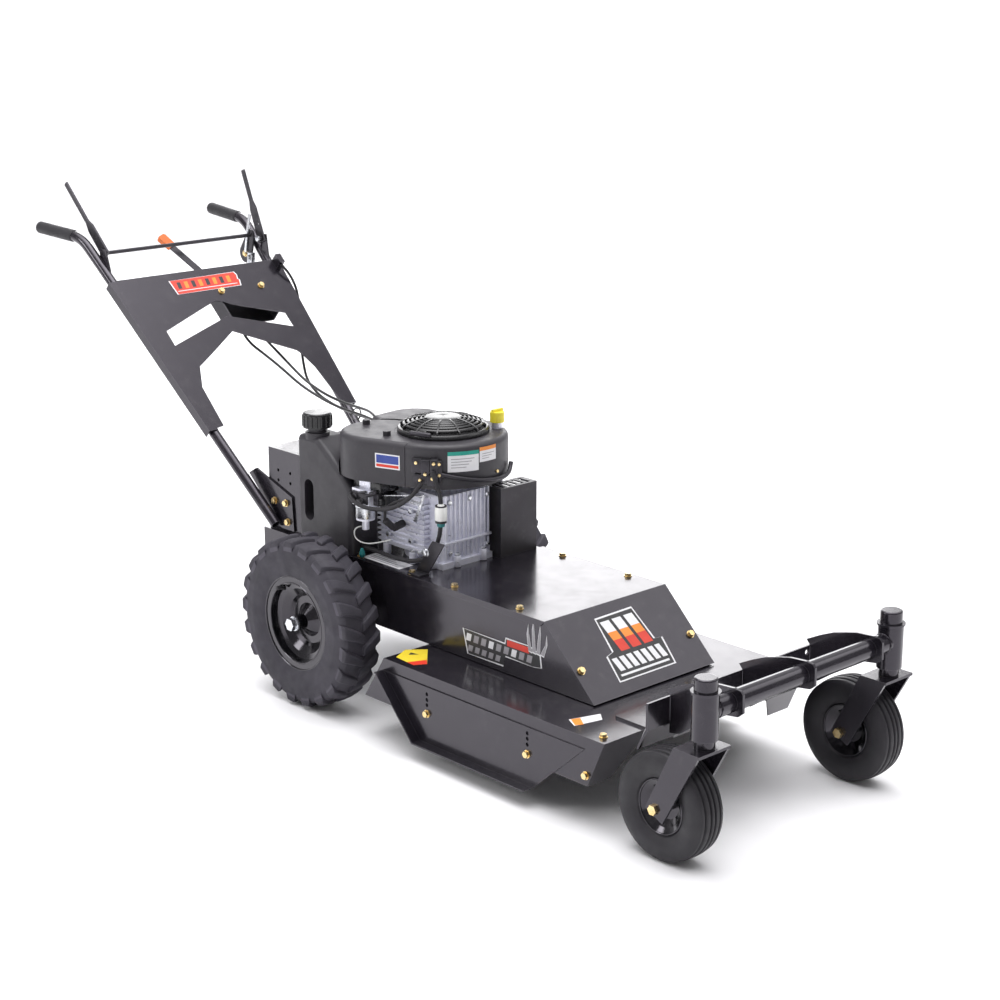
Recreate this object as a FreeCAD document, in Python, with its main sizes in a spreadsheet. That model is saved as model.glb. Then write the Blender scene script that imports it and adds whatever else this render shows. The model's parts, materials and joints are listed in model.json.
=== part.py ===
import FreeCAD, Part
import Sketcher
import math
import os

# Walk-behind brush mower: millimetres, +X forward, +Y to the operator's left, +Z up.
# Every piece is drawn from the rear axle line (X = 0) and the ground (Z = 0), and its
# Placement then moves it so that the frame's origin lies under the middle of the machine.

Vec = FreeCAD.Vector
UP = Vec(0, 0, 1)
LEFT = Vec(0, 1, 0)
FORWARD = Vec(1, 0, 0)
SIDES = {"right": -1, "left": 1}

SIZES = {
    "rear_axle_x": -71.0,
    # chassis
    "frame_half": 185.0, "frame_top": 345.0, "frame_gauge": 4.0, "frame_back": -296.0,
    "cover_start": 294.0, "cover_crest": 683.0, "cover_nose": 830.0, "cover_gauge": 3.0,
    "deck_half": 315.0, "deck_top": 198.0, "deck_skirt": 93.0, "deck_gauge": 3.0,
    "deck_back": 308.0, "deck_front": 987.0, "deck_lean_back": 67.0, "deck_lean_front": 46.0,
    "arch_depth": 80.0, "idler_post": 128.0, "idler_post_radius": 6.0,
    "skid_gauge": 3.0, "skid_flange": 24.0, "skid_hole_radius": 4.5,
    # caster carriage
    "king_x": 1224.0, "king_y": 288.0, "king_tube_low": 274.0, "king_tube_high": 367.0,
    "king_tube_radius": 27.0, "king_bore_radius": 12.5, "king_pin_radius": 12.45,
    "beam_height": 330.0, "beam_radius": 21.0, "beam_wall": 3.0, "gusset_gauge": 6.0,
    "carriage_gauge": 5.0, "gusset_y": 217.0,
    # casters
    "caster_x": 1140.0, "caster_radius": 114.0, "caster_half_width": 37.0,
    "caster_rim_radius": 58.0, "fork_half": 46.0, "fork_gauge": 6.0, "fork_top": 256.0,
    "caster_bolt_radius": 6.25, "caster_bore_radius": 6.3,
    # rear wheels
    "rear_radius": 203.0, "rear_y": 280.0, "rear_half_width": 52.0, "rear_rim_radius": 114.0,
    "rear_rim_half": 40.0, "axle_radius": 9.5, "axle_bore_radius": 9.55, "axle_reach": 341.0,
    # handlebar
    "tube_radius": 13.0, "tube_wall": 2.0, "tube_foot_x": -243.0, "tube_foot_y": 188.0,
    "tube_foot_z": 362.0, "tube_bend_x": -930.0, "tube_bend_y": 254.0, "tube_bend_z": 977.0,
    "tube_end_x": -1116.0, "tube_end_y": 270.5, "tube_end_z": 997.0,
    "grip_length": 145.0, "grip_end": 8.0, "grip_radius": 15.5, "panel_gauge": 3.0,
    "console_back": -290.0, "console_front": -166.0, "console_half": 170.0,
    "console_top": 545.0, "bracket_gauge": 5.0,
    "lever_x": -871.0, "lever_z": 953.0, "rod_radius": 5.0, "lever_y": 233.0,
    "blade_lever_x": -838.0, "blade_lever_z": 947.0,
    "shift_along": 225.0, "shift_y": 62.0, "shift_pin_radius": 5.95,
    # engine
    "engine_x": 156.0, "crankcase_radius": 85.0, "housing_low": 535.0, "housing_high": 636.0,
    "housing_radius": 150.0, "cleaner_x": 50.0, "cleaner_y": -92.0, "cleaner_radius": 100.0,
    "housing_round": 13.0, "tank_round": 13.0, "filler_x": 222.0, "filler_y": 108.0,
    "dome_radius": 107.0, "dome_rise": 36.0, "shaft_radius": 12.5,
    "shaft_bore_radius": 12.55, "flywheel_radius": 95.0,
    # blade drive
    "blade_x": 620.0, "blade_radius": 296.0,"blade_height": 112.0,
    "blade_gauge": 9.0, "spindle_radius": 12.5,
    "spindle_bore_radius": 12.55, "drive_pulley_radius": 50.0, "blade_pulley_radius": 62.5,
    "belt_height": 306.0, "wheel_belt_height": 288.0, "wheel_pulley_x": -10.0, "wheel_pulley_radius": 58.0,
    "belt_thickness": 8.0, "groove_depth": 9.0, "idler_x": 400.0, "idler_y": -110.0,
    "idler_pivot_x": 470.0, "idler_pivot_y": -110.0, "idler_bore_radius": 6.05,
    # fasteners
    "bolt_radius": 4.0, "bolt_head_radius": 7.5, "bolt_head_height": 6.0,
}

doc = FreeCAD.newDocument("brush_mower")
sheet = doc.addObject("Spreadsheet::Sheet", "Sizes")
for row, (alias, value) in enumerate(SIZES.items(), start=1):
    sheet.set("A%d" % row, alias.replace("_", " "))
    sheet.set("B%d" % row, str(value))
    sheet.setAlias("B%d" % row, alias)
doc.recompute()

pieces = []


def size(alias):
    """The value that the sheet holds for one alias, in millimetres."""
    return float(sheet.get(alias))


def keep(thing, label):
    """Name a finished sub-part and list it for export."""
    thing.Label = label
    thing.Placement = FreeCAD.Placement(Vec(size("rear_axle_x"), 0, 0), FreeCAD.Rotation())
    thing.setExpression("Placement.Base.x", "Sizes.rear_axle_x")
    pieces.append(thing)
    return thing


def keep_shape(shape, label):
    """A sub-part whose shape comes straight from Part's own functions."""
    thing = doc.addObject("Part::Feature", label)
    thing.Shape = shape
    return keep(thing, label)


# ---------------------------------------------------------------- PartDesign helpers

def new_body(label):
    return doc.addObject("PartDesign::Body", label)


def sketch_on(body, role, offset=0.0):
    """A sketch on one origin plane of its own body, moved along the plane's normal."""
    sketch = body.newObject("Sketcher::SketchObject", body.Name + "_sketch")
    plane = [item for item in body.Origin.OriginFeatures if item.Role == role][0]
    sketch.AttachmentSupport = [(plane, "")]
    sketch.MapMode = "FlatFace"
    sketch.AttachmentOffset = FreeCAD.Placement(Vec(0, 0, offset), FreeCAD.Rotation())
    return sketch


def draw_outline(sketch, points):
    """A closed outline of straight edges, its corners held together by constraints."""
    first = sketch.GeometryCount
    corners = [Vec(x, y, 0) for x, y in points]
    for start, end in zip(corners, corners[1:] + corners[:1]):
        sketch.addGeometry(Part.LineSegment(start, end), False)
    count = len(corners)
    for index in range(count):
        following = (index + 1) % count
        joint = Sketcher.Constraint("Coincident", first + index, 2, first + following, 1)
        sketch.addConstraint(joint)


def draw_circle(sketch, x, y, radius):
    sketch.addGeometry(Part.Circle(Vec(x, y, 0), Vec(0, 0, 1), radius), False)


def draw_bound_circle(sketch, x, y, alias):
    """A circle whose radius follows a cell of the sheet."""
    draw_circle(sketch, x, y, size(alias))
    circle = sketch.GeometryCount - 1
    index = sketch.addConstraint(Sketcher.Constraint("Radius", circle, size(alias)))
    sketch.setExpression("Constraints[%d]" % index, "Sizes." + alias)


def pad(body, sketch, length, reverse=False, symmetric=False):
    """Pad a sketch; length is an expression in the sheet's aliases."""
    feature = body.newObject("PartDesign::Pad", body.Name + "_pad")
    feature.Profile = sketch
    feature.setExpression("Length", length)
    feature.Reversed = reverse
    if symmetric:
        feature.SideType = "Symmetric"
    doc.recompute()
    return feature


def pocket(body, sketch, length, reverse=False, symmetric=False):
    """Pocket a sketch, and make sure that it took material away."""
    before = body.Shape.Volume
    feature = body.newObject("PartDesign::Pocket", body.Name + "_pocket")
    feature.Profile = sketch
    feature.setExpression("Length", length)
    feature.Reversed = reverse
    if symmetric:
        feature.SideType = "Symmetric"
    doc.recompute()
    assert body.Shape.Volume < before, "pocket cuts nothing in " + body.Name
    return feature


def revolve(body, sketch, axis="V_Axis"):
    feature = body.newObject("PartDesign::Revolution", body.Name + "_turn")
    feature.Profile = sketch
    feature.ReferenceAxis = (sketch, [axis])
    feature.Angle = 360.0
    doc.recompute()
    return feature


# ---------------------------------------------------------------- Part helpers

def box(low, high):
    """A box between two corners."""
    return Part.makeBox(high[0] - low[0], high[1] - low[1], high[2] - low[2], Vec(*low))


def rod(start, end, radius):
    """A round bar between two points."""
    axis = Vec(*end) - Vec(*start)
    return Part.makeCylinder(radius, axis.Length, Vec(*start), axis)


def prism(points, direction):
    """A flat outline of points in space, extruded along a direction."""
    wire = Part.makePolygon([Vec(*point) for point in list(points) + [points[0]]])
    return Part.Face(wire).extrude(Vec(*direction))


def hexagon_bar(centre, axis, radius, length):
    """A hexagonal bar whose corners lie on the given radius."""
    turn = FreeCAD.Rotation(UP, axis)
    corners = []
    for step in range(6):
        angle = math.radians(60 * step)
        corner = Vec(radius * math.cos(angle), radius * math.sin(angle), 0)
        corners.append(centre + turn.multVec(corner))
    wire = Part.makePolygon(corners + corners[:1])
    return Part.Face(wire).extrude(axis.normalize() * length)


def flange_bolt(seat, axis, shank=0.0):
    """A flanged hexagon bolt: its head stands on seat along axis, its shank goes the other way."""
    centre = Vec(*seat)
    out = Vec(*axis).normalize()
    head = size("bolt_head_radius")
    flange = Part.makeCylinder(head * 1.2, 1.6, centre, out)
    shape = flange.fuse(hexagon_bar(centre + out * 1.6, Vec(out), head, size("bolt_head_height")))
    if shank > 0:
        shape = shape.fuse(Part.makeCylinder(size("bolt_radius"), shank, centre, out * -1))
    return shape.removeSplitter()


def rounded_path(points):
    """A wire of straight runs joined by tangent arcs, each as large as its runs allow."""
    knots = [Vec(*point) for point in points]
    edges = []
    last = knots[0]
    for before, corner, after in zip(knots, knots[1:], knots[2:]):
        into = (before - corner).normalize()
        out = (after - corner).normalize()
        turn = math.pi - into.getAngle(out)
        reach = 0.45 * min((before - corner).Length, (after - corner).Length)
        middle = (into + out).normalize()
        radius = reach / math.tan(turn / 2)
        depth = radius / math.cos(turn / 2) - radius
        start = corner + into * reach
        end = corner + out * reach
        edges.append(Part.LineSegment(last, start).toShape())
        edges.append(Part.Arc(start, corner + middle * depth, end).toShape())
        last = end
    edges.append(Part.LineSegment(last, knots[-1]).toShape())
    return Part.Wire(edges)


def round_tube(points, radius, inner=0.0):
    """A round section swept along the rounded path, hollow if inner is given."""
    path = rounded_path(points)
    start = Vec(*points[0])
    axis = Vec(*points[1]) - start
    solid = None
    for section_radius in (radius, inner):
        if section_radius <= 0:
            continue
        circle = Part.Wire([Part.Circle(start, axis, section_radius).toShape()])
        swept = path.makePipeShell([circle], True, False)
        expected = math.pi * section_radius ** 2 * path.Length
        assert abs(swept.Volume - expected) < 0.02 * expected, "tube volume is wrong"
        solid = swept if solid is None else solid.cut(swept)
    return solid


# ---------------------------------------------------------------- chassis

def main_frame():
    """Welded sheet tunnel: two side walls and the engine deck, open below and in front."""
    top = size("frame_top")
    back = size("frame_back")
    floor = size("deck_top") + 2
    nose_run = size("cover_nose") - size("cover_crest")
    side = [(back, 160), (60, 160), (90, floor), (size("cover_crest") + nose_run, floor),
            (size("cover_crest"), top), (back, top)]
    body = new_body("main_frame")
    outline = sketch_on(body, "XZ_Plane")
    draw_outline(outline, side)
    pad(body, outline, "2 * Sizes.frame_half", symmetric=True)
    inside = sketch_on(body, "XZ_Plane")
    under = top - size("frame_gauge")
    draw_outline(inside, [(back - 10, 100), (900, 100), (900, under), (back - 10, under)])
    pocket(body, inside, "2 * (Sizes.frame_half - Sizes.frame_gauge)", symmetric=True)
    openings = sketch_on(body, "XY_Plane", top)
    draw_outline(openings, [(300, -150), (670, -150), (670, 150), (300, 150)])
    draw_circle(openings, size("engine_x"), 0, 32)
    draw_outline(openings, [(-270, -120), (-185, -120), (-185, 120), (-270, 120)])
    pocket(body, openings, "Sizes.frame_gauge + 1")
    holes = sketch_on(body, "XZ_Plane")
    draw_circle(holes, 0, size("rear_radius"), 24)
    pocket(body, holes, "2 * Sizes.frame_half + 20", symmetric=True)
    return keep(body, "main_frame")


def belt_cover():
    """Folded lid over the belts: a flat top and a long sloping nose that overhangs the walls."""
    top = size("frame_top")
    start = size("cover_start")
    crest = size("cover_crest")
    nose = size("cover_nose")
    gauge = size("cover_gauge")
    foot = size("deck_top") + 4
    lower = [(start, top), (crest, top), (nose, foot), (nose + gauge * 1.4, foot),
             (crest + gauge * 0.4, top + gauge), (start, top + gauge)]
    body = new_body("belt_cover")
    strip = sketch_on(body, "XZ_Plane")
    draw_outline(strip, lower)
    pad(body, strip, "2 * (Sizes.frame_half + Sizes.cover_gauge)", symmetric=True)
    for sign in (-1, 1):
        lip = sketch_on(body, "XZ_Plane", sign * size("frame_half"))
        draw_outline(lip, [(start, top - 11), (crest - 12, top - 11), (crest, top + 1), (start, top + 1)])
        pad(body, lip, "Sizes.cover_gauge", reverse=sign < 0)
    return keep(body, "belt_cover")


def deck_shell():
    """Cutting deck: a folded steel shell, open underneath, with its front edge cut high."""
    half = size("deck_half")
    top = size("deck_top")
    skirt = size("deck_skirt")
    back = size("deck_back")
    front = size("deck_front")
    side = [(back, top), (front, top), (front - size("deck_lean_front"), skirt),
            (back - size("deck_lean_back"), skirt)]
    body = new_body("deck_shell")
    outline = sketch_on(body, "XZ_Plane")
    draw_outline(outline, side)
    pad(body, outline, "2 * Sizes.deck_half", symmetric=True)
    gauge = size("deck_gauge")
    slope_back = size("deck_lean_back") / (top - skirt)
    slope_front = size("deck_lean_front") / (top - skirt)
    drop = top - skirt + 20
    inner = [(back + 1.3 * gauge, top - gauge), (front - 1.2 * gauge, top - gauge),
             (front - 1.2 * gauge - slope_front * drop, top - gauge - drop),
             (back + 1.3 * gauge - slope_back * drop, top - gauge - drop)]
    hollow = sketch_on(body, "XZ_Plane")
    draw_outline(hollow, inner)
    pocket(body, hollow, "2 * (Sizes.deck_half - Sizes.deck_gauge)", symmetric=True)
    arch = sketch_on(body, "YZ_Plane", front - 60)
    draw_outline(arch, [(-250, skirt - 5), (250, skirt - 5), (205, 158), (-205, 158)])
    pocket(body, arch, "Sizes.arch_depth", reverse=True)
    holes = sketch_on(body, "XY_Plane", top)
    draw_circle(holes, size("blade_x"), 0, 46)
    pocket(body, holes, "Sizes.deck_gauge + 1")
    post = sketch_on(body, "XY_Plane", top - 1)
    draw_circle(post, size("idler_pivot_x"), size("idler_pivot_y"), size("idler_post_radius"))
    pad(body, post, "Sizes.idler_post")
    return keep(body, "deck_shell")


SKID_HOLES = {456: (155, 142, 130, 110), 770: (158, 146, 133, 112)}


def skid_plate(side_name):
    """Height-setting skid: a plate on the deck's side with a flange folded out along two edges."""
    sign = SIDES[side_name]
    body = new_body("skid_plate_" + side_name)
    seat = -sign * (size("deck_half") + 0.3)
    outer = [(306, 171), (933, 171), (783, 38), (430, 38)]
    face = sketch_on(body, "XZ_Plane", seat)
    draw_outline(face, outer)
    for along, heights in SKID_HOLES.items():
        for height in heights:
            draw_bound_circle(face, along, height, "skid_hole_radius")
    pad(body, face, "Sizes.skid_gauge", reverse=sign > 0)
    flange = sketch_on(body, "XZ_Plane", seat)
    draw_outline(flange, [(306, 171), (430, 38), (783, 38), (786, 41), (431.5, 41), (310, 171)])
    pad(body, flange, "Sizes.skid_gauge + Sizes.skid_flange", reverse=sign > 0)
    return keep(body, "skid_plate_" + side_name)


def deck_bolts():
    """Flange bolts that hold the skids and the deck's corners, all alike."""
    face = size("deck_half") + 0.3 + size("skid_gauge")
    bolts = []
    for sign in SIDES.values():
        for along, heights in SKID_HOLES.items():
            bolts.append(flange_bolt((along, sign * face, heights[-1]), (0, sign, 0), 3))
        bolts.append(flange_bolt((937, sign * size("deck_half"), 116), (0, sign, 0)))
        bolts.append(flange_bolt((960, sign * 290, size("deck_top")), (0, 0, 1)))
    return keep_shape(Part.makeCompound(bolts), "deck_bolts")


def frame_bolts():
    """Flange bolts along the belt cover, the engine deck, the console and the control panel."""
    top = size("frame_top")
    gauge = size("cover_gauge")
    crest = Vec(size("cover_crest") + gauge * 0.4, 0, top + gauge)
    foot = Vec(size("cover_nose") + gauge * 1.4, 0, size("deck_top") + 4)
    slope = (foot - crest).cross(LEFT)
    bolts = []
    for sign in SIDES.values():
        for along in (380, 589):
            bolts.append(flange_bolt((along, sign * 168, top + gauge), (0, 0, 1)))
        for along in (53, 235 if sign < 0 else 222):
            bolts.append(flange_bolt((along, sign * 167, top), (0, 0, 1)))
        nose = crest + (foot - crest) * 0.62 + LEFT * (sign * 170)
        bolts.append(flange_bolt(nose, slope))
        for along, height in BRACKET_BOLTS:
            bracket = size("console_half") + size("bracket_gauge")
            bolts.append(flange_bolt((along, sign * bracket, height), (0, sign, 0)))
    for across in (36, 163):
        seat = on_panel(226, across, size("tube_radius") + 0.3 + size("panel_gauge"))
        bolts.append(flange_bolt(seat, handle_normal()))
    return keep_shape(Part.makeCompound(bolts), "frame_bolts")


# ---------------------------------------------------------------- caster carriage

def caster_carriage():
    """Welded front carriage: folded plate, three arched gussets, cross tube and kingpin tubes."""
    gauge = size("carriage_gauge")
    seat = size("deck_top") + 0.2
    plan = [(905, -198), (990, -198), (1048, -285), (1048, 285), (990, 198), (905, 198)]
    base = prism([(x, y, seat) for x, y in plan], (0, 0, gauge))
    fold = [(1046, seat), (1050, seat), (1074, 244), (1074, 300), (1069, 300), (1069, 246),
            (1047, seat + gauge)]
    back = prism([(x, -285, z) for x, z in fold], (0, 570, 0))
    weldment = base.fuse(back)
    weldment = weldment.cut(rod((1060, 205, 286), (1090, 205, 286), 6))
    arch = [(1073, 222), (1073, 300), (1064, 311), (1100, 329), (1131, 342), (1165, 351),
            (1194, 358), (1235, 361), (1252, 359), (1258, 352), (1259, 315), (1247, 305),
            (1212, 300), (1150, 262), (1098, 226)]
    thick = size("gusset_gauge")
    for across in (-size("gusset_y"), 0, size("gusset_y")):
        gusset = prism([(x, across - thick / 2, z) for x, z in arch], (0, thick, 0))
        weldment = weldment.fuse(gusset)
    king_x = size("king_x")
    king_y = size("king_y")
    height = size("beam_height")
    beam = rod((king_x, -king_y, height), (king_x, king_y, height), size("beam_radius"))
    hollow = rod((king_x, -king_y, height), (king_x, king_y, height),
                 size("beam_radius") - size("beam_wall"))
    weldment = weldment.fuse(beam)
    for sign in SIDES.values():
        tube = rod((king_x, sign * king_y, size("king_tube_low")),
                   (king_x, sign * king_y, size("king_tube_high")), size("king_tube_radius"))
        weldment = weldment.fuse(tube)
    weldment = weldment.cut(hollow.common(box((0, -king_y + 27, 0), (2000, king_y - 27, 999))))
    for sign in SIDES.values():
        bore = rod((king_x, sign * king_y, 200), (king_x, sign * king_y, 450), size("king_bore_radius"))
        weldment = weldment.cut(bore)
    return keep_shape(weldment.removeSplitter(), "caster_carriage")


def caster_fork(side_name):
    """Caster fork: a top plate with two straight legs folded down and back, and a boss on top."""
    centre = SIDES[side_name] * size("king_y")
    half = size("fork_half")
    gauge = size("fork_gauge")
    top = size("fork_top")
    king_x = size("king_x")
    plate = box((1186, centre - half, top - gauge), (1252, centre + half, top))
    leg = [(1186, top), (1252, top), (1162, 90), (1117, 112)]
    shape = plate
    for sign in (-1, 1):
        inner = centre + sign * (half - gauge)
        shape = shape.fuse(prism([(x, inner, z) for x, z in leg], (0, sign * gauge, 0)))
    boss = rod((king_x, centre, top), (king_x, centre, size("king_tube_low") - 0.4), 21)
    shape = shape.fuse(boss)
    shape = shape.cut(rod((king_x, centre, top - 20), (king_x, centre, 400), size("king_pin_radius")))
    axle = rod((size("caster_x"), centre - 80, size("caster_radius")),
               (size("caster_x"), centre + 80, size("caster_radius")), size("caster_bolt_radius"))
    return keep_shape(shape.cut(axle).removeSplitter(), "caster_fork_" + side_name)


def kingpin(side_name):
    """Kingpin with its thrust washer and dust cap, turning with the fork."""
    centre = SIDES[side_name] * size("king_y")
    king_x = size("king_x")
    top = size("king_tube_high") + 0.4
    pin = rod((king_x, centre, size("fork_top") - size("fork_gauge")), (king_x, centre, top),
              size("king_pin_radius"))
    washer = rod((king_x, centre, top), (king_x, centre, top + 4), 30)
    cap = rod((king_x, centre, top + 4), (king_x, centre, top + 31), 23.5)
    rounded = cap.makeFillet(4, [edge for edge in cap.Edges if edge.BoundBox.ZMin > top + 30])
    return keep_shape(pin.fuse([washer, rounded]).removeSplitter(), "kingpin_" + side_name)


def caster_axle(side_name):
    """Through bolt and lock nut of a caster wheel."""
    centre = SIDES[side_name] * size("king_y")
    half = size("fork_half")
    outward = SIDES[side_name]
    seat = Vec(size("caster_x"), centre + outward * half, size("caster_radius"))
    out = LEFT * outward
    head = hexagon_bar(seat, Vec(out), 11, 7)
    inner = Vec(seat.x, centre - outward * half, seat.z)
    nut = hexagon_bar(inner, Vec(out) * -1, 11, 9)
    shank = Part.makeCylinder(size("caster_bolt_radius"), 2 * half, inner, out)
    return keep_shape(shank.fuse([head, nut]).removeSplitter(), "caster_axle_" + side_name)


def turned_wheel_part(label, centre, profiles):
    """Turn closed outlines of (offset from the wheel's middle, radius) about the axle."""
    body = new_body(label)
    for outline in profiles:
        sketch = sketch_on(body, "YZ_Plane")
        draw_outline(sketch, [(centre + offset, radius) for offset, radius in outline])
        revolve(body, sketch, "H_Axis")
    return body


def place_wheel(body, label, axle_x, axle_height):
    """Put a turned wheel part on its axle."""
    keep(body, label)
    body.setExpression("Placement.Base.x", "Sizes.rear_axle_x + Sizes." + axle_x)
    body.setExpression("Placement.Base.z", "Sizes." + axle_height)


def tyre_outline(radius, half, bead, bead_half, flange=0.0):
    """Section of a tyre: tread, rounded shoulders, sidewalls and the bead beside the rim flange."""
    wall = radius - bead
    right = [(bead_half, bead), (bead_half, bead + flange + 1), (half * 0.92, bead + wall * 0.24),
             (half, bead + wall * 0.5),
             (half * 0.95, bead + wall * 0.72), (half * 0.82, bead + wall * 0.89),
             (half * 0.6, radius - 1.5), (0, radius)]
    left = [(-offset, height) for offset, height in reversed(right[:-1])]
    return right + left


def caster_wheel(side_name):
    centre = SIDES[side_name] * size("king_y")
    half = size("caster_half_width")
    rim = size("caster_rim_radius")
    tyre = turned_wheel_part("caster_tyre_" + side_name, centre,
                             [tyre_outline(size("caster_radius"), half, rim, half * 0.7)])
    place_wheel(tyre, "caster_tyre_" + side_name, "caster_x", "caster_radius")
    bore = size("caster_bore_radius")
    hub = [(-37, bore), (37, bore), (37, 14), (8, 14), (8, 30), (20, 44), (26, 54), (26, rim - 0.2),
           (-26, rim - 0.2), (-26, 54), (-20, 44), (-8, 30), (-8, 14), (-37, 14)]
    wheel = turned_wheel_part("caster_rim_" + side_name, centre, [hub])
    place_wheel(wheel, "caster_rim_" + side_name, "caster_x", "caster_radius")


def rear_wheel(side_name):
    """Rear tyre and its stepped steel rim with a long hub, turned about the axle line."""
    sign = SIDES[side_name]
    centre = sign * size("rear_y")
    rim = size("rear_rim_radius")
    half = size("rear_rim_half")
    label = "rear_tyre_" + side_name
    outline = tyre_outline(size("rear_radius"), size("rear_half_width"), rim - 12, half - 0.5, 12)
    place_centre_wheel(turned_wheel_part(label, centre, [outline]), label)
    bore = size("axle_bore_radius") - 0.05
    section = [(-half - 4, rim), (-half, rim), (-half, rim - 12.2), (half - 4, rim - 12.2),
               (half, rim - 12.2),
               (half, rim), (half + 2, rim), (half + 2, rim - 20), (half - 14, rim - 24),
               (half - 18, rim - 36),
               (10, 62), (2, 56), (2, 40), (20, 18), (44, 18), (44, bore), (-60, bore), (-60, 18),
               (-4, 22), (-4, 60), (4, 66), (half - 24, rim - 36), (half - 22, rim - 18),
               (-half - 4, rim - 18)]
    outward = [(sign * offset, radius) for offset, radius in section]
    label = "rear_rim_" + side_name
    place_centre_wheel(turned_wheel_part(label, centre, [outward]), label)


def place_centre_wheel(body, label):
    """Put a rear wheel part on the rear axle."""
    keep(body, label)
    body.setExpression("Placement.Base.z", "Sizes.rear_radius")


def axle_shaft(side_name):
    """Drive shaft from the transaxle to the hub, with a washer and a hexagon nut outside."""
    sign = SIDES[side_name]
    reach = size("axle_reach")
    height = size("rear_radius")
    shaft = rod((0, sign * 22, height), (0, sign * (reach - 6), height), size("axle_radius"))
    washer = rod((0, sign * 324.4, height), (0, sign * 327.4, height), 17)
    nut = hexagon_bar(Vec(0, sign * 327.4, height), LEFT * sign, 15, reach - 327.4)
    return keep_shape(shaft.fuse([washer, nut]).removeSplitter(), "axle_shaft_" + side_name)


def transaxle():
    """Gear housing in the tunnel: a cast box with two axle horns and an input pulley post."""
    height = size("rear_radius")
    case = box((-85, -62, height - 42), (105, 62, height + 62))
    case = case.makeFillet(14, [edge for edge in case.Edges if abs(edge.tangentAt(0).z) < 0.5])
    horn = rod((0, -150, height), (0, 150, height), 26)
    x = size("wheel_pulley_x")
    belt = size("wheel_belt_height")
    outline = [(0, height + 50), (11, height + 50), (11, belt - 8)]
    outline += groove_points(size("wheel_pulley_radius"), belt) + [(0, belt + 8)]
    wire = Part.makePolygon([Vec(x + radius, 0, z) for radius, z in outline + outline[:1]])
    pulley = Part.Face(wire).revolve(Vec(x, 0, 0), UP, 360)
    shape = case.fuse([horn, pulley])
    shape = shape.cut(rod((0, -160, height), (0, 160, height), size("axle_bore_radius")))
    return keep_shape(shape.removeSplitter(), "transaxle")


# ---------------------------------------------------------------- handlebar

def handle_point(along):
    """Point of the straight handle tubes' middle plane, counted down from their upper bend."""
    bend = Vec(size("tube_bend_x"), 0, size("tube_bend_z"))
    foot = Vec(size("tube_foot_x"), 0, size("tube_foot_z"))
    return bend + (foot - bend).normalize() * along


def handle_normal():
    """Direction square to the plane of the handle tubes, up and forward."""
    run = handle_point(1) - handle_point(0)
    return run.cross(LEFT)


def on_panel(along, across, lift):
    """Point in space from a place on the handle plane and its height above that plane."""
    return handle_point(along) + LEFT * across + handle_normal() * lift


def rod_ear():
    """Ear on the right tube: the cross rod's bearing."""
    x = size("lever_x")
    z = size("lever_z")
    low = -size("lever_y") - 4.6
    ear = prism([(x - 14, low, z + 12), (x + 14, low, z + 12), (x + 34, low, z - 46),
                 (x - 6, low, z - 34)], (0, -3.6, 0))
    return [ear.cut(rod((x, -300, z), (x, 300, z), size("rod_radius") + 0.05))]


def pivot_ear():
    """Ear on the left tube with the blade lever's pivot pin."""
    x = size("blade_lever_x")
    z = size("blade_lever_z")
    across = size("lever_y")
    ear = prism([(x - 14, across + 5, z + 12), (x + 14, across + 5, z + 12), (x + 24, across + 5, z - 52),
                 (x - 6, across + 5, z - 44)], (0, 3.6, 0))
    pin = rod((x, across - 4.5, z), (x, across + 6, z), 5)
    head = rod((x, across - 8.5, z), (x, across - 4.5, z), 9)
    return [ear.fuse([pin, head])]


def grip_line(sign):
    """The tip of a grip, and the direction from there along the handle tube."""
    tip = Vec(size("tube_end_x"), sign * size("tube_end_y"), size("tube_end_z"))
    bend = Vec(size("tube_bend_x") - 12, sign * (size("tube_bend_y") + 1), size("tube_bend_z") + 9)
    return tip, (bend - tip).normalize()


def handle_tube(side_name):
    """Bent handle tube from the console's side up to the grip, with its welded ears."""
    sign = SIDES[side_name]
    tip, axis = grip_line(sign)
    route = [(size("tube_foot_x"), sign * size("tube_foot_y"), size("tube_foot_z")),
             (size("tube_bend_x") + 45, sign * (size("tube_bend_y") - 4), size("tube_bend_z") - 40.3),
             (size("tube_bend_x") - 12, sign * (size("tube_bend_y") + 1), size("tube_bend_z") + 9),
             tuple(tip + axis * size("grip_end"))]
    shape = round_tube(route, size("tube_radius"), size("tube_radius") - size("tube_wall"))
    ears = rod_ear() if sign < 0 else pivot_ear()
    bore = round_tube(route, size("tube_radius") - size("tube_wall"))
    ears = [ear.cut(bore) for ear in ears]
    return keep_shape(shape.fuse(ears).removeSplitter(), "handle_tube_" + side_name)


def grip_shape(sign):
    """Rubber grip: a sleeve with a closed end over the end of the handle tube."""
    tip, axis = grip_line(sign)
    sleeve = Part.makeCylinder(size("grip_radius"), size("grip_length"), tip, axis)
    sleeve = sleeve.makeFillet(4, [sleeve.Edges[0], sleeve.Edges[2]])
    bore = Part.makeCylinder(size("tube_radius"), size("grip_length"), tip + axis * size("grip_end"), axis)
    return sleeve.cut(bore)


def grips():
    """The two rubber grips, alike."""
    return keep_shape(Part.makeCompound([grip_shape(sign) for sign in SIDES.values()]), "grips")


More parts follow.
